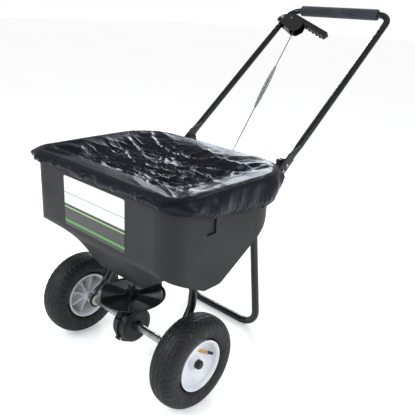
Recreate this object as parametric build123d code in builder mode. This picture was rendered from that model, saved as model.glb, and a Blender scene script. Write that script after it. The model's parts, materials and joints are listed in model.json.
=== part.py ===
"""Walk-behind broadcast spreader for seed, salt and fertiliser.

The axle lies along X, the operator walks behind the hopper at +Y, and Z points up.
The origin is on the ground, straight below the middle of the axle. Sizes are in millimetres.
"""

import os
from math import atan2, cos, radians, sin, tan

from build123d import *

# Clearances
RUNNING_GAP = 0.06
FIT_GAP = 0.05
SEAT_GAP = 0.3

# Wheels and axle
TYRE_DIAMETER = 310
TYRE_WIDTH = 96
TYRE_WALL = 7
BEAD_WIDTH = 12
BEAD_HEIGHT = 9
TREAD_GROOVE = 4
RIM_DIAMETER = 170
RIM_WIDTH = 84
RIM_FLANGE = 4
RIM_SHELL = 3.7
RIM_STEP = 6.3
RIM_RIBS = 8
RIM_RIB_THICKNESS = 4
WHEEL_TRACK = 580
HUB_DIAMETER = 44
HUB_OUTER_REACH = 25
HUB_INNER_REACH = 50
WEB_REACH = 9
WEB_THICKNESS = 4
VALVE_DIAMETER = 8
VALVE_CAP_DIAMETER = 10
VALVE_CAP_LENGTH = 19
AXLE_DIAMETER = 16
AXLE_TAIL = 13
CAP_DIAMETER = 30
CAP_LENGTH = 16.7
SPACER_DIAMETER = 27
BUSH_DIAMETER = 24
BUSH_FLANGE_DIAMETER = 40
BUSH_FLANGE = 3
DRIVE_PIN_DIAMETER = 6

# Bevel gears
GEAR_MODULE = 2.0
RING_TEETH = 48
PINION_TEETH = 12
GEAR_FACE = 12
GEAR_ADDENDUM = 1.6
GEAR_DEDENDUM = 2.0
GEAR_HALF_TOOTH = 1.25
GEAR_FLANK = 20
GEAR_LAND = 0.02
GEAR_PIN_DIAMETER = 4
SHAFT_DIAMETER = 12

# Gearbox
GEARBOX_DIAMETER = 128
GEARBOX_HALF_WIDTH = 33
GEARBOX_CAVITY = 57
GEARBOX_CAVITY_HALF = 28
GEARBOX_BOSS = 40
GEARBOX_REACH = 41
GEARBOX_FLANGE = 5
GEARBOX_NECK = 34
GEARBOX_NECK_TOP = 238
GEARBOX_SCREWS = 5
NECK_BUSH_DIAMETER = 20

# Spinning disc and agitator
IMPELLER_DIAMETER = 230
IMPELLER_HEIGHT = 262
IMPELLER_PLATE = 3
IMPELLER_HUB = 30
IMPELLER_HUB_LOW = 246
IMPELLER_HUB_HIGH = 300
IMPELLER_FINS = 6
FIN_OUTER_HEIGHT = 22
FIN_INNER_HEIGHT = 14
AGITATOR_HEIGHT = 366
AGITATOR_REACH = 46
SHAFT_TOP = 378

# Hopper
HOPPER_WIDTH = 670
HOPPER_FRONT = -150
HOPPER_BACK = 358
HOPPER_TOP = 728
HOPPER_WALL = 4
FRONT_CORNER = 70
BACK_CORNER = 138
FRONT_KNEE = 495
BACK_KNEE = 606
FRONT_KNEE_RADIUS = 40
BACK_KNEE_RADIUS = 80
LOW_RADIUS = 30
OUTLET_WIDTH = 200
OUTLET_FRONT = -45
OUTLET_BACK = 85
OUTLET_HEIGHT = 345
SHOULDER_WIDTH = 400
SHOULDER_FRONT = -20
SHOULDER_BACK = 70
SHOULDER_HEIGHT = 410
END_FRONT = -10
END_BACK = 60
END_HEIGHT = 423
RIM_SIDE = 17
RIM_FRONT = 3
RIM_BACK = 25
RIM_LIP = 14
RIM_THICKNESS = 3
RECESS_Y = 8
RECESS_Z = 626
RECESS_WIDTH = 38
RECESS_HEIGHT = 59
RECESS_DEPTH = 6

# Outlet and shut-off gate
OUTLET_HOLE = 22
OUTLET_PITCH = 36
OUTLET_ROW = 40
GATE_WIDTH = 120
GATE_PLATE = 2.5
GATE_PLAY = 0.4
GATE_OVERLAP = 3
GATE_LENGTH = 38
ARM_WIDTH = 20
ARM_HEIGHT = 335
ARM_STEP_Y = 100
GUIDE_SIDE = 8
GUIDE_FRONT = -20
GUIDE_BACK = 75
SHAFT_BUSH_DIAMETER = 20
SHAFT_BUSH_FLANGE = 32

# Rain cover
COVER_CLOTH = 6
COVER_PLAY = 0.5
COVER_DISH = 35
COVER_DISH_EDGE = 30
COVER_DISH_SLOPE = 130
COVER_HEM_FRONT = 706
COVER_HEM_SIDE = 632
COVER_HEM_BACK = 656

# Frame tubes
FRAME_TUBE = 28
HANDLE_TUBE = 25.4
TUBE_WALL = 1.5
FLAT = 6
FRAME_FLAT_WIDTH = 38
HANDLE_FLAT_WIDTH = 38
EYE_DIAMETER = 56
RAIL_BEND = 60
RAIL_LOW_BEND_Y = 80
RAIL_LOW_BEND_Z = 277
RAIL_HIGH_BEND_Y = 91
RAIL_FLAT_Y = 370
RAIL_END_Y = 417
STAND_X = 188
STAND_Y = 479
STAND_LEAN = 0.165
STAND_TOP = 640
STAND_BEND = 80

# Handle
HANDLE_X = 240
HANDLE_LOW_Y = 490
HANDLE_LOW_Z = 692
GRIP_Y = 1137
GRIP_Z = 1198
HANDLE_BEND = 55
HANDLE_END_Y = 465
HANDLE_FLAT_Y = 522
HANDLE_ROUND_Y = 560
GRIP_DIAMETER = 44
GRIP_LENGTH = 362
STRAP_WIDTH = 34
STRAP_THICKNESS = 5
STRAP_LOW_Y = 388
STRAP_TOP_Y = 497
STRAP_STEP_LOW_Y = 428
STRAP_STEP_HIGH_Y = 450

# Fasteners
BOLT = 8
SCREW = 5
WASHER = 1.5
LEG_BOLT_Y = 381
RAIL_BOLT_Y = 409
LOWER_HANDLE_BOLT_Y = 467
KNOB_DIAMETER = 42
KNOB_LENGTH = 26
KNOB_LOBES = 5
HOPPER_BOLT_YS = (130, 280)

# Squeeze lever and its bracket, in the plane of the handle: across, and down from the grip bar
BRACKET_BOLT = (-240, 70)
LEVER_PIVOT = (-188, 75)
LEVER_TILT = 25.5
LEVER_THICKNESS = 22
LEVER_WIDTH = 30
LEVER_LENGTH = 232
LEVER_OFFSET = 21
LEVER_SCALLOPS = 5
CHEEK = 3

# Control rod
ROD_PIN = (-145, 112)
ROD_WIRE = 4
ROD_LIFT = 9
ROD_BEND = 4
ROD_END_X = 20
ROD_END_Y = 200
ROD_END_Z = 350
SPRING_START = 240
SPRING_LENGTH = 224
SPRING_DIAMETER = 20
SPRING_END_DIAMETER = 8
SPRING_RIBS = 28
WIRE_INSERT = 8

# Label
LABEL_WIDTH = 296
LABEL_HEIGHT = 163
LABEL_MIDDLE = 602.5
LABEL_THICKNESS = 0.8
LABEL_CORNER = 6

# Places worked out from the driving sizes
AXLE_Z = TYRE_DIAMETER / 2
WHEEL_X = WHEEL_TRACK / 2
AXLE_BORE = AXLE_DIAMETER / 2 + RUNNING_GAP
SHAFT_BORE = SHAFT_DIAMETER / 2 + RUNNING_GAP
RIM_SEAT = RIM_DIAMETER / 2 - RIM_STEP
HUB_INNER_X = WHEEL_X - HUB_INNER_REACH
HUB_OUTER_X = WHEEL_X + HUB_OUTER_REACH
RAIL_X = STAND_X + FRAME_TUBE / 2 + SEAT_GAP + FLAT / 2
RAIL_FACE_X = RAIL_X + FLAT / 2
STRAP_X = RAIL_FACE_X + SEAT_GAP
HANDLE_FACE_X = HANDLE_X - FLAT / 2
UPPER_STRAP_X = HANDLE_FACE_X - SEAT_GAP - STRAP_THICKNESS
BUSH_FLANGE_X = RAIL_X - FLAT / 2 - SEAT_GAP - BUSH_FLANGE
BUSH_END_X = RAIL_FACE_X + 4
HALF_HOPPER = HOPPER_WIDTH / 2
GATE_TOP = OUTLET_HEIGHT - GATE_PLAY
GUIDE_TOP = GATE_TOP - GATE_PLATE - GATE_PLAY
GUIDE_LOW = GUIDE_TOP - GATE_PLATE
GATE_FRONT = OUTLET_ROW - OUTLET_HOLE / 2 - GATE_OVERLAP
PITCH_RING = GEAR_MODULE * RING_TEETH / 2
PITCH_PINION = GEAR_MODULE * PINION_TEETH / 2
CONE = (PITCH_RING**2 + PITCH_PINION**2) ** 0.5
PINION_HUB = 10
PINION_TOP = AXLE_Z + GEARBOX_CAVITY - 1
RING_HUB = 32
CHEEK_LIFT = HANDLE_TUBE / 2 + SEAT_GAP
LEVER_MIDDLE = LEVER_LENGTH / 2 - 8

AXLE_LINE = Axis((0, 0, AXLE_Z), (1, 0, 0))
AXLE_PLANE = Plane(origin=(0, 0, AXLE_Z), x_dir=(0, 0, 1), z_dir=(1, 0, 0))
SHAFT_PLANE = Plane(origin=(0, 0, AXLE_Z), x_dir=(1, 0, 0), z_dir=(0, 0, 1))
HANDLE_SLOPE = atan2(GRIP_Z - HANDLE_LOW_Z, GRIP_Y - HANDLE_LOW_Y)
UP_SLOPE = Vector(0, cos(HANDLE_SLOPE), sin(HANDLE_SLOPE))
SLOPE_NORMAL = Vector(0, -sin(HANDLE_SLOPE), cos(HANDLE_SLOPE))
HANDLE_PLANE = Plane(origin=(0, GRIP_Y, GRIP_Z), x_dir=(1, 0, 0), z_dir=SLOPE_NORMAL)

os.makedirs("parts", exist_ok=True)


def across(x):
    """The upright plane at a distance along the axle: its x is the world's Y and its y is Z."""
    return Plane(origin=(x, 0, 0), x_dir=(0, 1, 0), z_dir=(1, 0, 0))


def wheel_plane(angle=0.0):
    """A plane that holds the axle, centred in the left wheel, its y pointing out at an angle from up."""
    turn = radians(angle)
    return Plane(origin=(WHEEL_X, 0, AXLE_Z), x_dir=(1, 0, 0), z_dir=(0, -cos(turn), sin(turn)))


def on_wheel(reach, radius, angle):
    """A point on the left wheel: outward from its middle, from the axle, and round from the top."""
    return wheel_plane(angle).from_local_coords(Vector(reach, radius, 0))


def on_handle(x, drop, lift=0.0):
    """A point in the plane of the handle, a distance down the slope from the grip bar."""
    return Vector(x, GRIP_Y, GRIP_Z) - UP_SLOPE * drop + SLOPE_NORMAL * lift


def drop_at(y):
    """Distance down the handle from the grip bar to a place given by its Y."""
    return (GRIP_Y - y) / cos(HANDLE_SLOPE)


def handle_height(y):
    """Height of the handle's centre line."""
    return HANDLE_LOW_Z + (y - HANDLE_LOW_Y) * tan(HANDLE_SLOPE)


def leg_y(z):
    """Distance back of a stand leg's centre line at a height."""
    return STAND_Y - STAND_LEAN * (z - FRAME_TUBE / 2)


def hex_bolt(diameter, grip, nut=True):
    """A hex bolt along Z with its head above the XY plane and its nut below the grip."""
    head = diameter * 0.65
    with BuildPart() as bolt:
        with BuildSketch():
            RegularPolygon(diameter * 0.87, 6)
        extrude(amount=head)
        with BuildSketch():
            Circle(diameter / 2)
        extrude(amount=-grip - (head if nut else 0))
        if nut:
            with BuildSketch(Plane.XY.offset(-grip - head)):
                RegularPolygon(diameter * 0.87, 6)
            extrude(amount=head)
    return bolt.part


def dome_bolt(diameter, grip):
    """A round-headed bolt along Z with its head above the XY plane."""
    radius = diameter * 0.9
    with BuildPart() as bolt:
        with BuildSketch():
            Circle(radius)
        extrude(amount=diameter * 0.85)
        fillet(bolt.faces().sort_by(Axis.Z)[-1].edges(), diameter * 0.6)
        with BuildSketch():
            Circle(diameter / 2)
        extrude(amount=-grip)
    return bolt.part


# Wheels

with BuildPart() as tyre_left:
    bead_x = RIM_WIDTH / 2 - RIM_FLANGE - SEAT_GAP
    bead_r = RIM_SEAT + SEAT_GAP
    bulge_r = (bead_r + AXLE_Z) / 2 + 1
    shoulder = (TYRE_WIDTH / 2 - 7, AXLE_Z - 9)
    with BuildSketch(wheel_plane()):
        with BuildLine():
            inner = Line((-bead_x, bead_r), (bead_x, bead_r))
            heel = Line(inner @ 1, (bead_x, bead_r + BEAD_HEIGHT))
            wall = ThreePointArc(heel @ 1, (TYRE_WIDTH / 2, bulge_r), shoulder)
            crown = ThreePointArc(wall @ 1, (0, AXLE_Z), (-shoulder[0], shoulder[1]))
            far_wall = ThreePointArc(crown @ 1, (-TYRE_WIDTH / 2, bulge_r), (-bead_x, bead_r + BEAD_HEIGHT))
            Line(far_wall @ 1, inner @ 0)
        make_face()
        with BuildLine():
            mouth = Line((BEAD_WIDTH - bead_x, bead_r - 1), (bead_x - BEAD_WIDTH, bead_r - 1))
            lift = Line(mouth @ 1, (bead_x - TYRE_WALL, bead_r + BEAD_HEIGHT))
            side = ThreePointArc(lift @ 1, (TYRE_WIDTH / 2 - TYRE_WALL, bulge_r),
                                 (shoulder[0] - TYRE_WALL, shoulder[1] - TYRE_WALL))
            roof = ThreePointArc(side @ 1, (0, AXLE_Z - 2 * TYRE_WALL),
                                 (TYRE_WALL - shoulder[0], shoulder[1] - TYRE_WALL))
            far_side = ThreePointArc(roof @ 1, (TYRE_WALL - TYRE_WIDTH / 2, bulge_r),
                                     (TYRE_WALL - bead_x, bead_r + BEAD_HEIGHT))
            Line(far_side @ 1, mouth @ 0)
        make_face(mode=Mode.SUBTRACT)
        with GridLocations(TYRE_WIDTH / 5, 1, 4, 1):
            with Locations((0, AXLE_Z)):
                Rectangle(TREAD_GROOVE, 3 * TREAD_GROOVE, mode=Mode.SUBTRACT)
    revolve(axis=AXLE_LINE)
tyre_left.part.label = "tyre_left"
export_step(tyre_left.part, "parts/tyre_left.step")

with BuildPart() as tyre_right:
    mirror(tyre_left.part, about=Plane.YZ)
tyre_right.part.label = "tyre_right"
export_step(tyre_right.part, "parts/tyre_right.step")

# The valve comes out through the web of the rim and lies across the dish of the wheel
valve_foot = on_wheel(WEB_REACH, 37, 41)
valve_tip = on_wheel(32, 64, 81)
valve_line = (valve_tip - valve_foot).normalized()
valve_plane = Plane(origin=valve_foot - valve_line * 14, z_dir=valve_line)
valve_length = (valve_tip - valve_foot).length + 14

with BuildPart() as wheel_rim_left:
    half = RIM_WIDTH / 2
    lip = RIM_DIAMETER / 2
    shell = RIM_SEAT - RIM_SHELL
    with BuildSketch(wheel_plane()):
        with BuildLine():
            face = Polyline((half, lip), (half, lip - 5), (half - RIM_STEP, shell), (28, shell - 1))
            dish = ThreePointArc(face @ 1, (15, 61), (WEB_REACH, HUB_DIAMETER / 2 + 17))
            hub = Polyline(dish @ 1, (WEB_REACH, HUB_DIAMETER / 2), (HUB_OUTER_REACH, HUB_DIAMETER / 2 - 2),
                           (HUB_OUTER_REACH, AXLE_BORE), (-HUB_INNER_REACH, AXLE_BORE),
                           (-HUB_INNER_REACH, HUB_DIAMETER / 2 - 4),
                           (WEB_REACH - WEB_THICKNESS, HUB_DIAMETER / 2),
                           (WEB_REACH - WEB_THICKNESS, HUB_DIAMETER / 2 + 17))
            back = ThreePointArc(hub @ 1, (15 - WEB_THICKNESS, 60), (20, shell))
            Polyline(back @ 1, (RIM_STEP - half, shell), (-half, lip - 5), (-half, lip),
                     (RIM_FLANGE - half, lip), (RIM_FLANGE - half, RIM_SEAT), (half - RIM_FLANGE, RIM_SEAT),
                     (half - RIM_FLANGE, lip), (half, lip))
        make_face()
    revolve(axis=AXLE_LINE)
    for index in range(RIM_RIBS):
        with BuildSketch(wheel_plane(index * 360 / RIM_RIBS + 22.5)):
            with BuildLine():
                Polyline((-30, HUB_DIAMETER / 2 - 3), (-22, shell + 1), (18, shell + 1),
                         (WEB_REACH - 2, HUB_DIAMETER / 2 + 17), (WEB_REACH - 2, HUB_DIAMETER / 2 - 3),
                         close=True)
            make_face()
        extrude(amount=RIM_RIB_THICKNESS / 2, both=True)
    with Locations(valve_plane):
        Cylinder(VALVE_DIAMETER / 2 + FIT_GAP, 2 * 24, mode=Mode.SUBTRACT)
    with Locations(Plane(origin=(HUB_INNER_X + 10, 0, AXLE_Z))):
        Cylinder(DRIVE_PIN_DIAMETER / 2 + FIT_GAP, 2 * HUB_DIAMETER, mode=Mode.SUBTRACT)
wheel_rim_left.part.label = "wheel_rim_left"
export_step(wheel_rim_left.part, "parts/wheel_rim_left.step")

with BuildPart() as wheel_rim_right:
    mirror(wheel_rim_left.part, about=Plane.YZ)
wheel_rim_right.part.label = "wheel_rim_right"
export_step(wheel_rim_right.part, "parts/wheel_rim_right.step")

with BuildPart() as valve_stem_left:
    with BuildSketch(valve_plane):
        Circle(VALVE_DIAMETER / 2)
    extrude(amount=valve_length - 3)
valve_stem_left.part.label = "valve_stem_left"
export_step(valve_stem_left.part, "parts/valve_stem_left.step")

with BuildPart() as valve_stem_right:
    mirror(valve_stem_left.part, about=Plane.YZ)
valve_stem_right.part.label = "valve_stem_right"
export_step(valve_stem_right.part, "parts/valve_stem_right.step")

with BuildPart() as valve_cap_left:
    with BuildSketch(valve_plane.offset(valve_length - VALVE_CAP_LENGTH)):
        Circle(VALVE_CAP_DIAMETER / 2)
    extrude(amount=VALVE_CAP_LENGTH)
    with BuildSketch(valve_plane):
        Circle(VALVE_DIAMETER / 2 + FIT_GAP)
    extrude(amount=valve_length - 2.5, mode=Mode.SUBTRACT)
    chamfer(valve_cap_left.faces().sort_by(Axis(valve_foot, valve_line))[-1].edges(), 1)
valve_cap_left.part.label = "valve_cap_left"
export_step(valve_cap_left.part, "parts/valve_cap_left.step")

with BuildPart() as valve_cap_right:
    mirror(valve_cap_left.part, about=Plane.YZ)
valve_cap_right.part.label = "valve_cap_right"
export_step(valve_cap_right.part, "parts/valve_cap_right.step")


# Axle and what turns with it

drive_pin_plane = Plane(origin=(HUB_INNER_X + 10, 0, AXLE_Z))

with BuildPart() as axle:
    with BuildSketch(across(0)):
        with Locations((0, AXLE_Z)):
            Circle(AXLE_DIAMETER / 2)
    extrude(amount=HUB_OUTER_X + AXLE_TAIL, both=True)
    with Locations(drive_pin_plane):
        Cylinder(DRIVE_PIN_DIAMETER / 2 + FIT_GAP, 2 * AXLE_DIAMETER, mode=Mode.SUBTRACT)
    with Locations(Plane(origin=(23, 0, AXLE_Z))):
        Cylinder(GEAR_PIN_DIAMETER / 2 + FIT_GAP, 2 * AXLE_DIAMETER, mode=Mode.SUBTRACT)
    chamfer(axle.faces().sort_by(Axis.X)[0].edges() + axle.faces().sort_by(Axis.X)[-1].edges(), 1)
axle.part.label = "axle"
export_step(axle.part, "parts/axle.step")

with BuildPart() as drive_pin:
    with Locations(drive_pin_plane):
        Cylinder(DRIVE_PIN_DIAMETER / 2, HUB_DIAMETER + 6)
drive_pin.part.label = "drive_pin"
export_step(drive_pin.part, "parts/drive_pin.step")

with BuildPart() as axle_caps:
    with BuildSketch(across(HUB_OUTER_X + SEAT_GAP)):
        with Locations((0, AXLE_Z)):
            Circle(CAP_DIAMETER / 2)
    extrude(amount=CAP_LENGTH)
    fillet(axle_caps.faces().sort_by(Axis.X)[-1].edges(), CAP_LENGTH / 2)
    with BuildSketch(across(HUB_OUTER_X + SEAT_GAP)):
        with Locations((0, AXLE_Z)):
            Circle(AXLE_DIAMETER / 2 + FIT_GAP)
    extrude(amount=AXLE_TAIL + SEAT_GAP, mode=Mode.SUBTRACT)
    mirror(about=Plane.YZ)
axle_caps.part.label = "axle_caps"
export_step(axle_caps.part, "parts/axle_caps.step")

with BuildPart() as wheel_spacers:
    with BuildSketch(across(BUSH_END_X + SEAT_GAP)):
        with Locations((0, AXLE_Z)):
            Circle(SPACER_DIAMETER / 2)
            Circle(AXLE_DIAMETER / 2 + FIT_GAP, mode=Mode.SUBTRACT)
    extrude(amount=HUB_INNER_X - BUSH_END_X - 2 * SEAT_GAP)
    mirror(about=Plane.YZ)
wheel_spacers.part.label = "wheel_spacers"
export_step(wheel_spacers.part, "parts/wheel_spacers.step")

with BuildPart() as axle_spacer_left:
    with BuildSketch(across(GEARBOX_REACH)):
        with Locations((0, AXLE_Z)):
            Circle(SPACER_DIAMETER / 2)
            Circle(AXLE_DIAMETER / 2 + 2 * SEAT_GAP, mode=Mode.SUBTRACT)
    extrude(amount=BUSH_FLANGE_X - GEARBOX_REACH)
axle_spacer_left.part.label = "axle_spacer_left"
export_step(axle_spacer_left.part, "parts/axle_spacer_left.step")

with BuildPart() as axle_spacer_right:
    mirror(axle_spacer_left.part, about=Plane.YZ)
axle_spacer_right.part.label = "axle_spacer_right"
export_step(axle_spacer_right.part, "parts/axle_spacer_right.step")

with BuildPart() as axle_bushing_left:
    with BuildSketch(across(BUSH_FLANGE_X)):
        with Locations((0, AXLE_Z)):
            Circle(BUSH_FLANGE_DIAMETER / 2)
    extrude(amount=BUSH_FLANGE)
    with BuildSketch(across(BUSH_FLANGE_X)):
        with Locations((0, AXLE_Z)):
            Circle(BUSH_DIAMETER / 2)
    extrude(amount=BUSH_END_X - BUSH_FLANGE_X)
    with BuildSketch(across(BUSH_FLANGE_X)):
        with Locations((0, AXLE_Z)):
            Circle(AXLE_BORE)
    extrude(amount=BUSH_END_X - BUSH_FLANGE_X, mode=Mode.SUBTRACT)
axle_bushing_left.part.label = "axle_bushing_left"
export_step(axle_bushing_left.part, "parts/axle_bushing_left.step")

with BuildPart() as axle_bushing_right:
    mirror(axle_bushing_left.part, about=Plane.YZ)
axle_bushing_right.part.label = "axle_bushing_right"
export_step(axle_bushing_right.part, "parts/axle_bushing_right.step")


# Bevel gears, each drawn from the point where the two shafts cross, its own axis along Z

def bevel_tooth(pitch_radius, apex_distance):
    """One straight bevel tooth: it narrows towards the crossing point of the two shafts."""
    slope = Vector(pitch_radius, 0, apex_distance) / CONE
    flank = tan(radians(GEAR_FLANK))
    sunk = GEAR_DEDENDUM + 0.5
    with BuildPart() as tooth:
        for share in (1, 1 - GEAR_FACE / CONE):
            middle = Vector(pitch_radius, 0, apex_distance) * share
            with BuildSketch(Plane(origin=middle, x_dir=(0, -1, 0), z_dir=slope)):
                root = (GEAR_HALF_TOOTH + sunk * flank) * share
                tip = (GEAR_HALF_TOOTH - GEAR_ADDENDUM * flank) * share
                with BuildLine():
                    Polyline((-root, -sunk * share), (root, -sunk * share),
                             (tip, GEAR_ADDENDUM * share), (-tip, GEAR_ADDENDUM * share), close=True)
                make_face()
        loft(ruled=True)
    return tooth.part


def gear_blank_line(pitch_radius, apex_distance):
    """Radius and distance of the ends of a gear's root cone, which runs a little past its teeth."""
    radius = pitch_radius - GEAR_DEDENDUM * apex_distance / CONE
    distance = apex_distance + GEAR_DEDENDUM * pitch_radius / CONE
    outer = 1 + GEAR_LAND
    inner = 1 - GEAR_FACE / CONE - GEAR_LAND
    return (radius * outer, distance * outer), (radius * inner, distance * inner)


ring_tooth = bevel_tooth(PITCH_RING, PITCH_PINION)
pinion_tooth = bevel_tooth(PITCH_PINION, PITCH_RING)

with BuildPart() as ring_gear:
    root_out, root_in = gear_blank_line(PITCH_RING, PITCH_PINION)
    with BuildSketch(Plane(origin=(0, 0, AXLE_Z), x_dir=(0, 0, 1), z_dir=(0, 1, 0))):
        with BuildLine():
            Polyline(root_out, (root_out[0], 18), (RING_HUB / 2, 18), (RING_HUB / 2, 27.5),
                     (AXLE_DIAMETER / 2 + FIT_GAP, 27.5), (AXLE_DIAMETER / 2 + FIT_GAP, 12),
                     (RING_HUB / 2, 12), root_in, close=True)
        make_face()
    revolve(axis=AXLE_LINE)
    with Locations(AXLE_PLANE):
        with PolarLocations(0, RING_TEETH):
            add(ring_tooth)
        with PolarLocations(27, 6):
            Cylinder(6, 80, mode=Mode.SUBTRACT)
    with Locations(Plane(origin=(23, 0, AXLE_Z))):
        Cylinder(GEAR_PIN_DIAMETER / 2 + FIT_GAP, 2 * RING_HUB, mode=Mode.SUBTRACT)
ring_gear.part.label = "ring_gear"
export_step(ring_gear.part, "parts/ring_gear.step")

with BuildPart() as ring_gear_pin:
    with Locations(Plane(origin=(23, 0, AXLE_Z))):
        Cylinder(GEAR_PIN_DIAMETER / 2, RING_HUB)
ring_gear_pin.part.label = "ring_gear_pin"
export_step(ring_gear_pin.part, "parts/ring_gear_pin.step")

pinion_pin_plane = Plane(origin=(0, 0, PINION_TOP - 4), z_dir=(1, 0, 0))

with BuildPart() as pinion:
    root_out, root_in = gear_blank_line(PITCH_PINION, PITCH_RING)
    with BuildSketch(Plane(origin=(0, 0, AXLE_Z), x_dir=(1, 0, 0), z_dir=(0, -1, 0))):
        with BuildLine():
            Polyline(root_out, (PINION_HUB, PINION_TOP - AXLE_Z),
                     (SHAFT_DIAMETER / 2 + FIT_GAP, PINION_TOP - AXLE_Z),
                     (SHAFT_DIAMETER / 2 + FIT_GAP, root_in[1]), root_in, close=True)
        make_face()
    revolve(axis=Axis.Z)
    with Locations(SHAFT_PLANE):
        with PolarLocations(0, PINION_TEETH, start_angle=180 / PINION_TEETH):
            add(pinion_tooth)
    with Locations(pinion_pin_plane):
        Cylinder(1.5 + FIT_GAP, 40, mode=Mode.SUBTRACT)
pinion.part.label = "pinion"
export_step(pinion.part, "parts/pinion.step")

with BuildPart() as pinion_pin:
    with Locations(pinion_pin_plane):
        Cylinder(1.5, 2 * PINION_HUB)
pinion_pin.part.label = "pinion_pin"
export_step(pinion_pin.part, "parts/pinion_pin.step")

impeller_pin_plane = Plane(origin=(0, 0, IMPELLER_HUB_HIGH - 8), z_dir=(1, 0, 0))
agitator_plane = Plane(origin=(0, 0, AGITATOR_HEIGHT), z_dir=(1, 0, 0))

with BuildPart() as impeller_shaft:
    with BuildSketch(Plane.XY.offset(AXLE_Z + 30)):
        Circle(SHAFT_DIAMETER / 2)
    extrude(amount=SHAFT_TOP - AXLE_Z - 30)
    with Locations(pinion_pin_plane):
        Cylinder(1.5 + FIT_GAP, 40, mode=Mode.SUBTRACT)
    with Locations(impeller_pin_plane):
        Cylinder(GEAR_PIN_DIAMETER / 2 + FIT_GAP, 40, mode=Mode.SUBTRACT)
    with Locations(agitator_plane):
        Cylinder(SCREW / 2 + FIT_GAP, 40, mode=Mode.SUBTRACT)
    chamfer(impeller_shaft.faces().sort_by(Axis.Z)[-1].edges(), 1.5)
impeller_shaft.part.label = "impeller_shaft"
export_step(impeller_shaft.part, "parts/impeller_shaft.step")

with BuildPart() as impeller:
    with BuildSketch(Plane.XZ):
        with BuildLine():
            Polyline((0, IMPELLER_HUB_LOW), (IMPELLER_HUB / 2 - 2, IMPELLER_HUB_LOW),
                     (IMPELLER_HUB / 2, IMPELLER_HEIGHT), (IMPELLER_DIAMETER / 2 - 8, IMPELLER_HEIGHT),
                     (IMPELLER_DIAMETER / 2, IMPELLER_HEIGHT + 4),
                     (IMPELLER_DIAMETER / 2, IMPELLER_HEIGHT + 4 + IMPELLER_PLATE),
                     (IMPELLER_DIAMETER / 2 - 9, IMPELLER_HEIGHT + IMPELLER_PLATE),
                     (IMPELLER_HUB / 2, IMPELLER_HEIGHT + IMPELLER_PLATE),
                     (IMPELLER_HUB / 2 - 3, IMPELLER_HUB_HIGH), (0, IMPELLER_HUB_HIGH), close=True)
        make_face()
    revolve(axis=Axis.Z)
    for index in range(IMPELLER_FINS):
        turn = radians(index * 360 / IMPELLER_FINS + 15)
        with BuildSketch(Plane(origin=(0, 0, IMPELLER_HEIGHT), x_dir=(cos(turn), sin(turn), 0),
                               z_dir=(sin(turn), -cos(turn), 0))):
            with BuildLine():
                Polyline((10, 1), (IMPELLER_DIAMETER / 2 - 9, 1), (IMPELLER_DIAMETER / 2 - 1, 5),
                         (IMPELLER_DIAMETER / 2 - 1, FIN_OUTER_HEIGHT), (26, FIN_INNER_HEIGHT),
                         (10, FIN_INNER_HEIGHT + 12), close=True)
            make_face()
        extrude(amount=1.5, both=True)
    with BuildSketch(Plane.XY.offset(IMPELLER_HUB_LOW)):
        Circle(SHAFT_DIAMETER / 2 + FIT_GAP)
    extrude(amount=IMPELLER_HUB_HIGH - IMPELLER_HUB_LOW, mode=Mode.SUBTRACT)
    with Locations(impeller_pin_plane):
        Cylinder(GEAR_PIN_DIAMETER / 2 + FIT_GAP, 2 * IMPELLER_HUB, mode=Mode.SUBTRACT)
impeller.part.label = "impeller"
export_step(impeller.part, "parts/impeller.step")

with BuildPart() as impeller_pin:
    with Locations(impeller_pin_plane):
        Cylinder(GEAR_PIN_DIAMETER / 2, IMPELLER_HUB - 2)
impeller_pin.part.label = "impeller_pin"
export_step(impeller_pin.part, "parts/impeller_pin.step")

with BuildPart() as agitator:
    with BuildLine():
        route = FilletPolyline((-AGITATOR_REACH, 0, AGITATOR_HEIGHT + 28), (-AGITATOR_REACH, 0, AGITATOR_HEIGHT),
                               (AGITATOR_REACH, 0, AGITATOR_HEIGHT), (AGITATOR_REACH, 0, AGITATOR_HEIGHT + 28),
                               radius=10)
    with BuildSketch(Plane(origin=route @ 0, z_dir=route % 0)):
        Circle(SCREW / 2)
    sweep()
agitator.part.label = "agitator"
export_step(agitator.part, "parts/agitator.step")


# Gearbox

gearbox_screw_places = [on_wheel(0, GEARBOX_DIAMETER / 2 + 4, 60 * index) for index in range(1, 6)]

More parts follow.
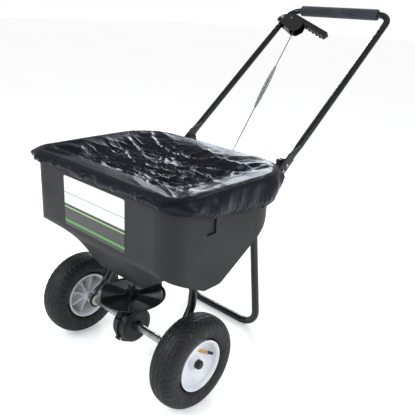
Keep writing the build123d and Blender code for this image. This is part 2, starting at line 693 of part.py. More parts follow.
with BuildPart() as gearbox_whole:
    with BuildSketch(Plane(origin=(0, 0, AXLE_Z), x_dir=(1, 0, 0), z_dir=(0, -1, 0))):
        with BuildLine():
            side = GEARBOX_HALF_WIDTH
            rim = GEARBOX_DIAMETER / 2
            Polyline((0, 0), (GEARBOX_REACH, 0), (GEARBOX_REACH, GEARBOX_BOSS / 2 - 2),
                     (side, GEARBOX_BOSS / 2), (side, rim - 16), (side - 6, rim - 3),
                     (GEARBOX_FLANGE, rim), (GEARBOX_FLANGE, rim + 6), (-GEARBOX_FLANGE, rim + 6),
                     (-GEARBOX_FLANGE, rim), (6 - side, rim - 3), (-side, rim - 16),
                     (-side, GEARBOX_BOSS / 2), (-GEARBOX_REACH, GEARBOX_BOSS / 2 - 2),
                     (-GEARBOX_REACH, 0), close=True)
        make_face()
    revolve(axis=AXLE_LINE)
    with BuildSketch(Plane.XY.offset(AXLE_Z + 40)):
        Circle(GEARBOX_NECK / 2)
    extrude(amount=GEARBOX_NECK_TOP - AXLE_Z - 40)
    with BuildSketch(Plane.XY.offset(AXLE_Z + GEARBOX_DIAMETER / 2 - 12)):
        Circle(GEARBOX_NECK / 2 + 8)
    with BuildSketch(Plane.XY.offset(AXLE_Z + GEARBOX_DIAMETER / 2 + 9)):
        Circle(GEARBOX_NECK / 2)
    loft()
    for place in gearbox_screw_places:
        with BuildSketch(across(0)):
            with Locations((place.Y, place.Z)):
                Circle(8)
        extrude(amount=GEARBOX_FLANGE + 3, both=True)
    with BuildSketch(across(0)):
        with Locations((0, AXLE_Z)):
            Circle(GEARBOX_CAVITY)
    extrude(amount=GEARBOX_CAVITY_HALF, both=True, mode=Mode.SUBTRACT)
    with BuildSketch(across(0)):
        with Locations((0, AXLE_Z)):
            Circle(BUSH_DIAMETER / 2 + FIT_GAP)
        with Locations(*[(place.Y, place.Z) for place in gearbox_screw_places]):
            Circle(SCREW / 2 + FIT_GAP)
    extrude(amount=GEARBOX_REACH, both=True, mode=Mode.SUBTRACT)
    with BuildSketch(Plane.XY.offset(AXLE_Z + 40)):
        Circle(NECK_BUSH_DIAMETER / 2 + FIT_GAP)
    extrude(amount=GEARBOX_NECK_TOP - AXLE_Z, mode=Mode.SUBTRACT)

with BuildPart() as gearbox_left_half:
    add(gearbox_whole.part)
    split(bisect_by=Plane.YZ, keep=Keep.TOP)
gearbox_left_half.part.label = "gearbox_left_half"
export_step(gearbox_left_half.part, "parts/gearbox_left_half.step")

with BuildPart() as gearbox_right_half:
    add(gearbox_whole.part)
    split(bisect_by=Plane.YZ, keep=Keep.BOTTOM)
gearbox_right_half.part.label = "gearbox_right_half"
export_step(gearbox_right_half.part, "parts/gearbox_right_half.step")

gearbox_screw = hex_bolt(SCREW, 2 * GEARBOX_FLANGE + 6)

with BuildPart() as gearbox_screws:
    for place in gearbox_screw_places:
        with Locations(Plane(origin=(GEARBOX_FLANGE + 3, place.Y, place.Z), z_dir=(1, 0, 0))):
            add(gearbox_screw)
gearbox_screws.part.label = "gearbox_screws"
export_step(gearbox_screws.part, "parts/gearbox_screws.step")

with BuildPart() as gearbox_axle_bushes:
    with BuildSketch(across(GEARBOX_CAVITY_HALF)):
        with Locations((0, AXLE_Z)):
            Circle(BUSH_DIAMETER / 2)
            Circle(AXLE_BORE, mode=Mode.SUBTRACT)
    extrude(amount=GEARBOX_REACH - GEARBOX_CAVITY_HALF)
    mirror(about=Plane.YZ)
gearbox_axle_bushes.part.label = "gearbox_axle_bushes"
export_step(gearbox_axle_bushes.part, "parts/gearbox_axle_bushes.step")

with BuildPart() as pinion_bushing:
    with BuildSketch(Plane.XY.offset(AXLE_Z + GEARBOX_CAVITY)):
        Circle(NECK_BUSH_DIAMETER / 2)
    extrude(amount=GEARBOX_NECK_TOP - AXLE_Z - GEARBOX_CAVITY)
    with BuildSketch(Plane.XY.offset(GEARBOX_NECK_TOP)):
        Circle(NECK_BUSH_DIAMETER / 2 + 4)
    extrude(amount=2)
    with BuildSketch(Plane.XY.offset(AXLE_Z + GEARBOX_CAVITY)):
        Circle(SHAFT_BORE)
    extrude(amount=GEARBOX_NECK_TOP, mode=Mode.SUBTRACT)
pinion_bushing.part.label = "pinion_bushing"
export_step(pinion_bushing.part, "parts/pinion_bushing.step")


# Hopper

def plan(height, side, front, back):
    """The hopper's rounded outline from above at a height, grown at its sides, front and back."""
    with BuildSketch(Plane.XY.offset(height)) as outline:
        with Locations((0, (HOPPER_FRONT - front + HOPPER_BACK + back) / 2)):
            Rectangle(HOPPER_WIDTH + 2 * side, HOPPER_BACK - HOPPER_FRONT + front + back)
        fillet(outline.vertices().group_by(Axis.Y)[0], FRONT_CORNER + min(side, front))
        fillet(outline.vertices().group_by(Axis.Y)[-1], BACK_CORNER + min(side, back))
    return outline.sketch


def hopper_loft(inset):
    """The funnel of the hopper, inset from its outside, before its corners are rounded in plan."""
    stations = [(OUTLET_WIDTH / 2, OUTLET_FRONT, OUTLET_BACK, OUTLET_HEIGHT),
                (SHOULDER_WIDTH / 2, SHOULDER_FRONT, SHOULDER_BACK, SHOULDER_HEIGHT),
                (HALF_HOPPER - inset, END_FRONT, END_BACK, END_HEIGHT)]
    sections = [(-x, *rest) for x, *rest in reversed(stations)] + stations
    with BuildPart() as funnel:
        for x, front, back, bottom in sections:
            with BuildSketch(across(x)) as section:
                with BuildLine():
                    Polyline((HOPPER_FRONT, HOPPER_TOP + 3 * inset), (HOPPER_FRONT, FRONT_KNEE), (front, bottom),
                             (back, bottom), (HOPPER_BACK, BACK_KNEE), (HOPPER_BACK, HOPPER_TOP + 3 * inset),
                             close=True)
                make_face()
                if inset:
                    offset(amount=-inset, kind=Kind.INTERSECTION, mode=Mode.REPLACE)
                fillet(section.vertices().sort_by_distance((front, bottom))[0], LOW_RADIUS - inset)
                fillet(section.vertices().sort_by_distance((back, bottom))[0], LOW_RADIUS - inset)
                fillet(section.vertices().sort_by_distance((HOPPER_FRONT, FRONT_KNEE))[0],
                       FRONT_KNEE_RADIUS - inset)
                fillet(section.vertices().sort_by_distance((HOPPER_BACK, BACK_KNEE))[0],
                       BACK_KNEE_RADIUS - inset)
        loft(ruled=True)
    return funnel.part


with BuildPart() as hopper_outside:
    add(hopper_loft(0))
    extrude(plan(OUTLET_HEIGHT - 10, FIT_GAP, FIT_GAP, FIT_GAP), HOPPER_TOP - OUTLET_HEIGHT + 20,
            mode=Mode.INTERSECT)

with BuildPart() as hopper_inside:
    add(hopper_loft(HOPPER_WALL))
    inner_edge = FIT_GAP - HOPPER_WALL
    extrude(plan(OUTLET_HEIGHT - 10, inner_edge, inner_edge, inner_edge), HOPPER_TOP - OUTLET_HEIGHT + 30,
            mode=Mode.INTERSECT)

# The belly behind the outlet, at the side rails, which run along it
rail_share = (RAIL_X - SHOULDER_WIDTH / 2) / (HALF_HOPPER - SHOULDER_WIDTH / 2)
belly_low = Vector(0, SHOULDER_BACK + (END_BACK - SHOULDER_BACK) * rail_share,
                   SHOULDER_HEIGHT + (END_HEIGHT - SHOULDER_HEIGHT) * rail_share)
belly_line = (Vector(0, HOPPER_BACK, BACK_KNEE) - belly_low).normalized()
belly_normal = Vector(0, -belly_line.Z, belly_line.Y)
rail_low = belly_low - belly_normal * (FRAME_TUBE / 2 + SEAT_GAP)


def rail_point(y):
    """A point on the upper stretch of the rail's centre line, in the plane of the rail."""
    return Vector(0, y, rail_low.Z + (y - rail_low.Y) * belly_line.Z / belly_line.Y)


def belly_plane(y, lift):
    """A plane along the belly above the left rail, raised from the rail's centre line."""
    point = rail_point(y) + Vector(RAIL_X, 0, 0) + belly_normal * lift
    return Plane(origin=point, x_dir=(1, 0, 0), z_dir=belly_normal)


BOLT_HEAD_LIFT = FRAME_TUBE / 2 + HOPPER_WALL + WASHER
outlet_places = [(OUTLET_PITCH * step, OUTLET_ROW) for step in (-1, 0, 1)]
guide_screw_places = [(side * (GATE_WIDTH / 2 + GATE_PLAY + GUIDE_SIDE / 2), y)
                      for side in (-1, 1) for y in (GUIDE_FRONT + 12, GUIDE_BACK - 12)]

with BuildPart() as hopper:
    extrude(plan(HOPPER_TOP - RIM_LIP, RIM_SIDE, RIM_FRONT, RIM_BACK), RIM_LIP)
    extrude(plan(HOPPER_TOP - RIM_LIP, RIM_SIDE - RIM_THICKNESS, 0, RIM_BACK - RIM_THICKNESS),
            RIM_LIP - RIM_THICKNESS, mode=Mode.SUBTRACT)
    add(hopper_outside.part)
    add(hopper_inside.part, mode=Mode.SUBTRACT)
    for side in (-1, 1):
        with Locations((side * (HALF_HOPPER - RECESS_DEPTH / 2 - HOPPER_WALL / 2), RECESS_Y, RECESS_Z)):
            Box(RECESS_DEPTH + HOPPER_WALL, RECESS_WIDTH + 2 * HOPPER_WALL, RECESS_HEIGHT + 2 * HOPPER_WALL)
    for side in (-1, 1):
        with Locations((side * HALF_HOPPER, RECESS_Y, RECESS_Z)):
            Box(2 * RECESS_DEPTH, RECESS_WIDTH, RECESS_HEIGHT, mode=Mode.SUBTRACT)
    with BuildSketch(Plane.XY.offset(OUTLET_HEIGHT - 5)):
        with Locations(*outlet_places):
            Circle(OUTLET_HOLE / 2)
        Circle(SHAFT_BUSH_DIAMETER / 2 + FIT_GAP)
        with Locations(*guide_screw_places):
            Circle(SCREW / 2 + FIT_GAP)
    extrude(amount=HOPPER_WALL + 10, mode=Mode.SUBTRACT)
    for y in HOPPER_BOLT_YS:
        hole_plane = belly_plane(y, 0)
        with Locations(hole_plane, Plane(origin=hole_plane.origin - Vector(2 * RAIL_X, 0, 0),
                                         z_dir=belly_normal)):
            Cylinder(SCREW / 2 + FIT_GAP, 2 * BOLT_HEAD_LIFT + FRAME_TUBE / 2, mode=Mode.SUBTRACT)
hopper.part.label = "hopper"
export_step(hopper.part, "parts/hopper.step")

with BuildPart() as hopper_shaft_bush:
    with BuildSketch(Plane.XY.offset(GUIDE_LOW)):
        Circle(SHAFT_BUSH_DIAMETER / 2)
    extrude(amount=OUTLET_HEIGHT + HOPPER_WALL - GUIDE_LOW)
    with BuildSketch(Plane.XY.offset(OUTLET_HEIGHT + HOPPER_WALL)):
        Circle(SHAFT_BUSH_FLANGE / 2)
    extrude(amount=3)
    with BuildSketch(Plane.XY.offset(GUIDE_LOW)):
        Circle(SHAFT_BORE)
    extrude(amount=SHAFT_TOP, mode=Mode.SUBTRACT)
hopper_shaft_bush.part.label = "hopper_shaft_bush"
export_step(hopper_shaft_bush.part, "parts/hopper_shaft_bush.step")

with BuildPart() as front_label:
    with BuildSketch(Plane(origin=(0, HOPPER_FRONT, LABEL_MIDDLE), x_dir=(1, 0, 0), z_dir=(0, -1, 0))):
        RectangleRounded(LABEL_WIDTH, LABEL_HEIGHT, LABEL_CORNER)
    extrude(amount=LABEL_THICKNESS)
front_label.part.label = "front_label"
export_step(front_label.part, "parts/front_label.step")


# Shut-off gate under the outlet

guide_width = GATE_WIDTH + 2 * GATE_PLAY + 2 * GUIDE_SIDE

with BuildPart() as gate_guide:
    with BuildSketch(Plane.XY.offset(GUIDE_LOW)):
        with Locations((0, (GUIDE_FRONT + GUIDE_BACK) / 2)):
            RectangleRounded(guide_width, GUIDE_BACK - GUIDE_FRONT, 5)
    extrude(amount=OUTLET_HEIGHT - GUIDE_LOW)
    with BuildSketch(Plane.XY.offset(GUIDE_TOP)):
        with Locations((0, (GATE_FRONT - GATE_PLAY + GUIDE_BACK + 10) / 2)):
            Rectangle(GATE_WIDTH + 2 * GATE_PLAY, GUIDE_BACK + 10 - GATE_FRONT + GATE_PLAY)
    extrude(amount=10, mode=Mode.SUBTRACT)
    with BuildSketch(Plane.XY.offset(GUIDE_LOW)):
        with Locations(*outlet_places):
            Circle(OUTLET_HOLE / 2 + 2)
        Circle(SHAFT_BUSH_DIAMETER / 2 + FIT_GAP)
        with Locations(*guide_screw_places):
            Circle(SCREW / 2 + FIT_GAP)
    extrude(amount=10, mode=Mode.SUBTRACT)
gate_guide.part.label = "gate_guide"
export_step(gate_guide.part, "parts/gate_guide.step")

guide_screw = hex_bolt(SCREW, OUTLET_HEIGHT + HOPPER_WALL - GUIDE_LOW)

with BuildPart() as guide_screws:
    for x, y in guide_screw_places:
        with Locations(Plane(origin=(x, y, GUIDE_LOW), z_dir=(0, 0, -1))):
            add(guide_screw)
guide_screws.part.label = "guide_screws"
export_step(guide_screws.part, "parts/guide_screws.step")

with BuildPart() as shut_off_gate:
    with BuildSketch(Plane.XY.offset(GATE_TOP - GATE_PLATE)):
        with Locations((0, GATE_FRONT + GATE_LENGTH / 2)):
            RectangleRounded(GATE_WIDTH, GATE_LENGTH, 3)
    extrude(amount=GATE_PLATE)
    with BuildSketch(Plane.YZ.offset(ROD_END_X - ARM_WIDTH / 2)):
        with BuildLine():
            low = GATE_TOP - GATE_PLATE
            Polyline((GATE_FRONT + GATE_LENGTH - 5, low), (ARM_STEP_Y, low),
                     (ARM_STEP_Y + 12, ARM_HEIGHT - GATE_PLATE / 2),
                     (ROD_END_Y + 12, ARM_HEIGHT - GATE_PLATE / 2), (ROD_END_Y + 12, ARM_HEIGHT + GATE_PLATE / 2),
                     (ARM_STEP_Y + 13, ARM_HEIGHT + GATE_PLATE / 2), (ARM_STEP_Y + 1, GATE_TOP),
                     (GATE_FRONT + GATE_LENGTH - 5, GATE_TOP), close=True)
        make_face()
    extrude(amount=ARM_WIDTH)
    with BuildSketch(Plane.XY.offset(ARM_HEIGHT - 5)):
        with Locations((ROD_END_X, ROD_END_Y)):
            SlotOverall(14, 9)
    extrude(amount=10, mode=Mode.SUBTRACT)
shut_off_gate.part.label = "shut_off_gate"
export_step(shut_off_gate.part, "parts/shut_off_gate.step")


# Rain cover, which sags into the hopper and hangs over its rim

def cover_dish(top):
    """The hollow of the sagging cover, down from a height."""
    edge = -COVER_DISH_EDGE
    deep = edge - COVER_DISH_SLOPE
    with BuildPart() as dish:
        with BuildSketch(Plane.XY.offset(top)):
            add(plan(0, edge, edge, edge))
        with BuildSketch(Plane.XY.offset(top - COVER_DISH)):
            with Locations((0, (HOPPER_FRONT + HOPPER_BACK) / 2)):
                RectangleRounded(HOPPER_WIDTH + 2 * deep, HOPPER_BACK - HOPPER_FRONT + 2 * deep, 60)
        loft(ruled=True)
    return dish.part


cover_floor = HOPPER_TOP + COVER_PLAY
cover_low = COVER_HEM_SIDE - 10

with BuildPart() as cover_space:
    extrude(plan(cover_low, RIM_SIDE + COVER_PLAY, RIM_FRONT + COVER_PLAY, RIM_BACK + COVER_PLAY),
            cover_floor - cover_low)
    add(cover_dish(cover_floor), mode=Mode.SUBTRACT)

with BuildPart() as rain_cover:
    grown = COVER_PLAY + COVER_CLOTH
    extrude(plan(cover_low, RIM_SIDE + grown, RIM_FRONT + grown, RIM_BACK + grown),
            cover_floor + COVER_CLOTH - cover_low)
    add(cover_space.part, mode=Mode.SUBTRACT)
    add(cover_dish(cover_floor + COVER_CLOTH), mode=Mode.SUBTRACT)
    with BuildSketch(across(-HOPPER_WIDTH)):
        with BuildLine():
            hem = Spline((HOPPER_FRONT - 40, COVER_HEM_FRONT), (HOPPER_FRONT + 30, COVER_HEM_FRONT - 22),
                         (0, COVER_HEM_SIDE + 20), (150, COVER_HEM_SIDE), (300, COVER_HEM_SIDE + 4),
                         (HOPPER_BACK + 60, COVER_HEM_BACK))
            Polyline(hem @ 1, (HOPPER_BACK + 60, cover_low - 20), (HOPPER_FRONT - 40, cover_low - 20), hem @ 0)
        make_face()
    extrude(amount=2 * HOPPER_WIDTH, mode=Mode.SUBTRACT)
rain_cover.part.label = "rain_cover"
export_step(rain_cover.part, "parts/rain_cover.step")


# Frame

def rail_section(point, direction):
    """A plane across a tube of the left rail."""
    return Plane(origin=Vector(RAIL_X, point.Y, point.Z), x_dir=(1, 0, 0), z_dir=direction)


axle_point = Vector(0, 0, AXLE_Z)
low_bend = Vector(0, RAIL_LOW_BEND_Y, RAIL_LOW_BEND_Z)
low_line = (low_bend - axle_point).normalized()
eye_end = axle_point + low_line * 52
tube_start = axle_point + low_line * 88
tube_end = rail_point(RAIL_FLAT_Y - 27)
flat_start = rail_point(RAIL_FLAT_Y)
rail_length = (rail_point(RAIL_END_Y) - flat_start).length

with BuildPart() as side_rail_left:
    with BuildSketch(Plane(origin=(RAIL_X - FLAT / 2, 0, AXLE_Z), x_dir=low_line, z_dir=(1, 0, 0))):
        Circle(EYE_DIAMETER / 2)
        with Locations((26, 0)):
            Rectangle(52, FRAME_FLAT_WIDTH)
        Circle(BUSH_DIAMETER / 2 + FIT_GAP, mode=Mode.SUBTRACT)
    extrude(amount=FLAT)
    with BuildSketch(rail_section(eye_end, low_line)):
        Ellipse(FLAT / 2, FRAME_FLAT_WIDTH / 2)
    with BuildSketch(rail_section(tube_start, low_line)):
        Circle(FRAME_TUBE / 2)
    loft()
    with BuildSketch(rail_section(tube_end, belly_line)):
        Circle(FRAME_TUBE / 2)
    with BuildSketch(rail_section(flat_start, belly_line)):
        Ellipse(FLAT / 2, FRAME_FLAT_WIDTH / 2)
    loft()
    with BuildSketch(Plane(origin=flat_start + Vector(RAIL_X - FLAT / 2, 0, 0), x_dir=belly_line,
                           z_dir=(1, 0, 0))):
        with Locations((rail_length / 2, 0)):
            Rectangle(rail_length, FRAME_FLAT_WIDTH)
        with Locations((rail_length, 0)):
            Circle(FRAME_FLAT_WIDTH / 2)
    extrude(amount=FLAT)
    with BuildLine(across(RAIL_X)):
        route = FilletPolyline((tube_start.Y, tube_start.Z), (low_bend.Y, low_bend.Z),
                               (RAIL_HIGH_BEND_Y, rail_point(RAIL_HIGH_BEND_Y).Z), (tube_end.Y, tube_end.Z),
                               radius=RAIL_BEND)
    with BuildSketch(Plane(origin=route @ 0, z_dir=route % 0)):
        Circle(FRAME_TUBE / 2)
        Circle(FRAME_TUBE / 2 - TUBE_WALL, mode=Mode.SUBTRACT)
    sweep()
    with BuildSketch(across(RAIL_X - FLAT)):
        with Locations((LEG_BOLT_Y, handle_height(LEG_BOLT_Y)), (RAIL_BOLT_Y, handle_height(RAIL_BOLT_Y))):
            Circle(BOLT / 2 + FIT_GAP)
    extrude(amount=2 * FLAT, mode=Mode.SUBTRACT)
    for y in HOPPER_BOLT_YS:
        with Locations(belly_plane(y, 0)):
            Cylinder(SCREW / 2 + FIT_GAP, 2 * FRAME_TUBE, mode=Mode.SUBTRACT)
side_rail_left.part.label = "side_rail_left"
export_step(side_rail_left.part, "parts/side_rail_left.step")

with BuildPart() as side_rail_right:
    mirror(side_rail_left.part, about=Plane.YZ)
side_rail_right.part.label = "side_rail_right"
export_step(side_rail_right.part, "parts/side_rail_right.step")

leg_line = Vector(0, -STAND_LEAN, 1).normalized()
stand_plane = Plane(origin=(0, STAND_Y, FRAME_TUBE / 2), x_dir=(1, 0, 0), z_dir=leg_line.cross(Vector(-1, 0, 0)))
leg_length = (STAND_TOP - FRAME_TUBE / 2) / leg_line.Z

with BuildPart() as rear_stand:
    with BuildLine(stand_plane):
        route = FilletPolyline((STAND_X, leg_length), (STAND_X, 0), (-STAND_X, 0), (-STAND_X, leg_length),
                               radius=STAND_BEND)
    with BuildSketch(Plane(origin=route @ 0, z_dir=route % 0)):
        Circle(FRAME_TUBE / 2)
        Circle(FRAME_TUBE / 2 - TUBE_WALL, mode=Mode.SUBTRACT)
    sweep()
    with BuildSketch(across(-STAND_X - FRAME_TUBE)):
        with Locations((LEG_BOLT_Y, handle_height(LEG_BOLT_Y))):
            Circle(BOLT / 2 + FIT_GAP)
    extrude(amount=2 * (STAND_X + FRAME_TUBE), mode=Mode.SUBTRACT)
rear_stand.part.label = "rear_stand"
export_step(rear_stand.part, "parts/rear_stand.step")

with BuildPart() as leg_plugs:
    for side in (-1, 1):
        top = Plane(origin=(side * STAND_X, leg_y(STAND_TOP), STAND_TOP), x_dir=(1, 0, 0), z_dir=leg_line)
        with BuildSketch(top):
            Circle(FRAME_TUBE / 2)
        extrude(amount=3)
        with BuildSketch(top):
            Circle(FRAME_TUBE / 2 - TUBE_WALL - FIT_GAP)
        extrude(amount=-12)
    chamfer(leg_plugs.faces().group_by(Axis.Z)[-1].edges(), 1)
leg_plugs.part.label = "leg_plugs"
export_step(leg_plugs.part, "parts/leg_plugs.step")

with BuildPart() as handle_bracket_left:
    start = -drop_at(STRAP_LOW_Y)
    step_low = -drop_at(STRAP_STEP_LOW_Y)
    step_high = -drop_at(STRAP_STEP_HIGH_Y)
    stop = -drop_at(STRAP_TOP_Y)
    with BuildSketch(HANDLE_PLANE.offset(-STRAP_WIDTH / 2)):
        with BuildLine():
            Polyline((STRAP_X, start), (STRAP_X, step_low), (UPPER_STRAP_X, step_high), (UPPER_STRAP_X, stop),
                     (UPPER_STRAP_X + STRAP_THICKNESS, stop),
                     (UPPER_STRAP_X + STRAP_THICKNESS, step_high - 2),
                     (STRAP_X + STRAP_THICKNESS, step_low - 2), (STRAP_X + STRAP_THICKNESS, start), close=True)
        make_face()
    extrude(amount=STRAP_WIDTH)
    with BuildSketch(across(STRAP_X)):
        with Locations((STRAP_LOW_Y, handle_height(STRAP_LOW_Y))):
            Circle(STRAP_WIDTH / 2)
    extrude(amount=STRAP_THICKNESS)
    with BuildSketch(across(UPPER_STRAP_X)):
        with Locations((STRAP_TOP_Y, handle_height(STRAP_TOP_Y))):
            Circle(STRAP_WIDTH / 2)
    extrude(amount=STRAP_THICKNESS)
    with BuildSketch(across(STRAP_X - 5)):
        with Locations(*[(y, handle_height(y))
                         for y in (LEG_BOLT_Y, RAIL_BOLT_Y, LOWER_HANDLE_BOLT_Y, HANDLE_LOW_Y)]):
            Circle(BOLT / 2 + FIT_GAP)
    extrude(amount=50, mode=Mode.SUBTRACT)
handle_bracket_left.part.label = "handle_bracket_left"
export_step(handle_bracket_left.part, "parts/handle_bracket_left.step")

with BuildPart() as handle_bracket_right:
    mirror(handle_bracket_left.part, about=Plane.YZ)
handle_bracket_right.part.label = "handle_bracket_right"
export_step(handle_bracket_right.part, "parts/handle_bracket_right.step")


# Handle

def handle_section(side, y):
    """A plane across one arm of the handle tube."""
    return Plane(origin=on_handle(side * HANDLE_X, drop_at(y)), x_dir=(1, 0, 0), z_dir=UP_SLOPE)


handle_bolt_places = [(y, handle_height(y)) for y in (LOWER_HANDLE_BOLT_Y, HANDLE_LOW_Y)]

with BuildPart() as handle_tube:
    with BuildLine(HANDLE_PLANE):
        low = -drop_at(HANDLE_ROUND_Y)
        route = FilletPolyline((HANDLE_X, low), (HANDLE_X, 0), (-HANDLE_X, 0), (-HANDLE_X, low),
                               radius=HANDLE_BEND)
    with BuildSketch(Plane(origin=route @ 0, z_dir=route % 0)):
        Circle(HANDLE_TUBE / 2)
        Circle(HANDLE_TUBE / 2 - TUBE_WALL, mode=Mode.SUBTRACT)
    sweep()
    for side in (-1, 1):
        with BuildSketch(handle_section(side, HANDLE_FLAT_Y)):
            Ellipse(FLAT / 2, HANDLE_FLAT_WIDTH / 2)
        with BuildSketch(handle_section(side, HANDLE_ROUND_Y)):
            Circle(HANDLE_TUBE / 2)
        loft()
        with BuildSketch(Plane(origin=on_handle(side * HANDLE_X - FLAT / 2, drop_at(HANDLE_END_Y)),
                               x_dir=UP_SLOPE, z_dir=(1, 0, 0))):
            flat_length = drop_at(HANDLE_END_Y) - drop_at(HANDLE_FLAT_Y)
            with Locations((flat_length / 2, 0)):
                Rectangle(flat_length, HANDLE_FLAT_WIDTH)
            Circle(HANDLE_FLAT_WIDTH / 2)
        extrude(amount=FLAT)
    with BuildSketch(across(-HANDLE_X - FLAT)):
        with Locations(*handle_bolt_places):
            Circle(BOLT / 2 + FIT_GAP)
    extrude(amount=2 * (HANDLE_X + FLAT), mode=Mode.SUBTRACT)
    with Locations(Plane(origin=on_handle(*BRACKET_BOLT), z_dir=SLOPE_NORMAL)):
        Cylinder(BOLT / 2 + FIT_GAP, 2 * HANDLE_TUBE, mode=Mode.SUBTRACT)
handle_tube.part.label = "handle_tube"
export_step(handle_tube.part, "parts/handle_tube.step")

with BuildPart() as foam_grip:
    with BuildSketch(Plane(origin=(-GRIP_LENGTH / 2, GRIP_Y, GRIP_Z), z_dir=(1, 0, 0))):
        Circle(GRIP_DIAMETER / 2)
        Circle(HANDLE_TUBE / 2 + FIT_GAP, mode=Mode.SUBTRACT)
    extrude(amount=GRIP_LENGTH)
    fillet(foam_grip.edges().filter_by(GeomType.CIRCLE).group_by(SortBy.RADIUS)[-1], 3)
foam_grip.part.label = "foam_grip"
export_step(foam_grip.part, "parts/foam_grip.step")

# Each through bolt: where it stands, the X of its head's seat, and its grip
leg_grip = STRAP_X + STRAP_THICKNESS - (STAND_X - FRAME_TUBE / 2)
rail_grip = STRAP_X + STRAP_THICKNESS - (RAIL_X - FLAT / 2)
handle_grip = HANDLE_X + FLAT / 2 - UPPER_STRAP_X

with BuildPart() as frame_bolts:
    for y, seat, grip in ((LEG_BOLT_Y, STRAP_X + STRAP_THICKNESS, leg_grip),
                          (RAIL_BOLT_Y, STRAP_X + STRAP_THICKNESS, rail_grip),
                          (LOWER_HANDLE_BOLT_Y, HANDLE_X + FLAT / 2, handle_grip)):
        with Locations(Plane(origin=(seat, y, handle_height(y)), z_dir=(1, 0, 0))):
            add(hex_bolt(BOLT, grip))
    mirror(about=Plane.YZ)
frame_bolts.part.label = "frame_bolts"
export_step(frame_bolts.part, "parts/frame_bolts.step")

with BuildPart() as handle_bolts:
    with Locations(Plane(origin=(HANDLE_X + FLAT / 2, HANDLE_LOW_Y, HANDLE_LOW_Z), z_dir=(1, 0, 0))):
        add(dome_bolt(BOLT, handle_grip + 18))
    mirror(about=Plane.YZ)
handle_bolts.part.label = "handle_bolts"
export_step(handle_bolts.part, "parts/handle_bolts.step")

with BuildPart() as handle_knobs:
    with BuildSketch(Plane(origin=(UPPER_STRAP_X, HANDLE_LOW_Y, HANDLE_LOW_Z), z_dir=(-1, 0, 0))):
        Circle(KNOB_DIAMETER / 4)
    extrude(amount=KNOB_LENGTH)
    with BuildSketch(Plane(origin=(UPPER_STRAP_X - 6, HANDLE_LOW_Y, HANDLE_LOW_Z), z_dir=(-1, 0, 0))):
        Circle(KNOB_DIAMETER / 2 - 6)
        with PolarLocations(KNOB_DIAMETER / 2 - 7, KNOB_LOBES):
            Circle(7)
    extrude(amount=KNOB_LENGTH - 8)
    with BuildSketch(Plane(origin=(UPPER_STRAP_X, HANDLE_LOW_Y, HANDLE_LOW_Z), z_dir=(-1, 0, 0))):
        Circle(BOLT / 2 + FIT_GAP)
    extrude(amount=19, mode=Mode.SUBTRACT)
    mirror(about=Plane.YZ)
handle_knobs.part.label = "handle_knobs"
export_step(handle_knobs.part, "parts/handle_knobs.step")

with BuildPart() as hopper_bolts:
    for y in HOPPER_BOLT_YS:
        with Locations(belly_plane(y, BOLT_HEAD_LIFT)):
            add(hex_bolt(SCREW, BOLT_HEAD_LIFT + FRAME_TUBE / 2))
    mirror(about=Plane.YZ)
hopper_bolts.part.label = "hopper_bolts"
export_step(hopper_bolts.part, "parts/hopper_bolts.step")


# Squeeze lever

def lever_plane(lift):
    """The lever's own plane: its x runs along the grip of the lever from the pivot."""
    tilt = radians(LEVER_TILT)
    return Plane(origin=on_handle(*LEVER_PIVOT, lift), x_dir=Vector(cos(tilt), 0, 0) - UP_SLOPE * sin(tilt),
                 z_dir=SLOPE_NORMAL)


rod_pin_place = lever_plane(0).to_local_coords(on_handle(*ROD_PIN))

with BuildPart() as squeeze_lever:
    with BuildSketch(lever_plane(-LEVER_THICKNESS / 2)) as grip:
        with Locations((LEVER_MIDDLE, LEVER_OFFSET)):
            Rectangle(LEVER_LENGTH, LEVER_WIDTH)
        fillet(grip.vertices(), 9)
        for index in range(LEVER_SCALLOPS):
            with Locations((LEVER_LENGTH - 24 - index * 27, LEVER_OFFSET - LEVER_WIDTH / 2 - 10)):
                Circle(15, mode=Mode.SUBTRACT)
    extrude(amount=LEVER_THICKNESS)
    chamfer(squeeze_lever.edges().filter_by(GeomType.LINE).sort_by(SortBy.LENGTH)[-2:], 3)
    with BuildSketch(lever_plane(-LEVER_THICKNESS / 2)):
        with BuildLine():
            Polyline((-12, 0), (-4, LEVER_OFFSET), (58, LEVER_OFFSET), (rod_pin_place.X + 9, -6), (12, -4), close=True)
        make_face()
        Circle(12.5)
    extrude(amount=LEVER_THICKNESS)
    with BuildSketch(lever_plane(-5)):
        with BuildLine():
            Polyline((0, 0), (50, 10), (rod_pin_place.X + 9, rod_pin_place.Y),
                     (rod_pin_place.X - 9, rod_pin_place.Y - 2), close=True)
        make_face()
        with Locations((rod_pin_place.X, rod_pin_place.Y)):
            Circle(9)
    extrude(amount=10)
    with BuildSketch(lever_plane(-LEVER_THICKNESS)):
        Circle(BOLT / 2 + RUNNING_GAP)
        with Locations((rod_pin_place.X, rod_pin_place.Y)):
            Circle(ROD_WIRE / 2 + RUNNING_GAP)
    extrude(amount=2 * LEVER_THICKNESS, mode=Mode.SUBTRACT)
squeeze_lever.part.label = "squeeze_lever"
export_step(squeeze_lever.part, "parts/squeeze_lever.step")

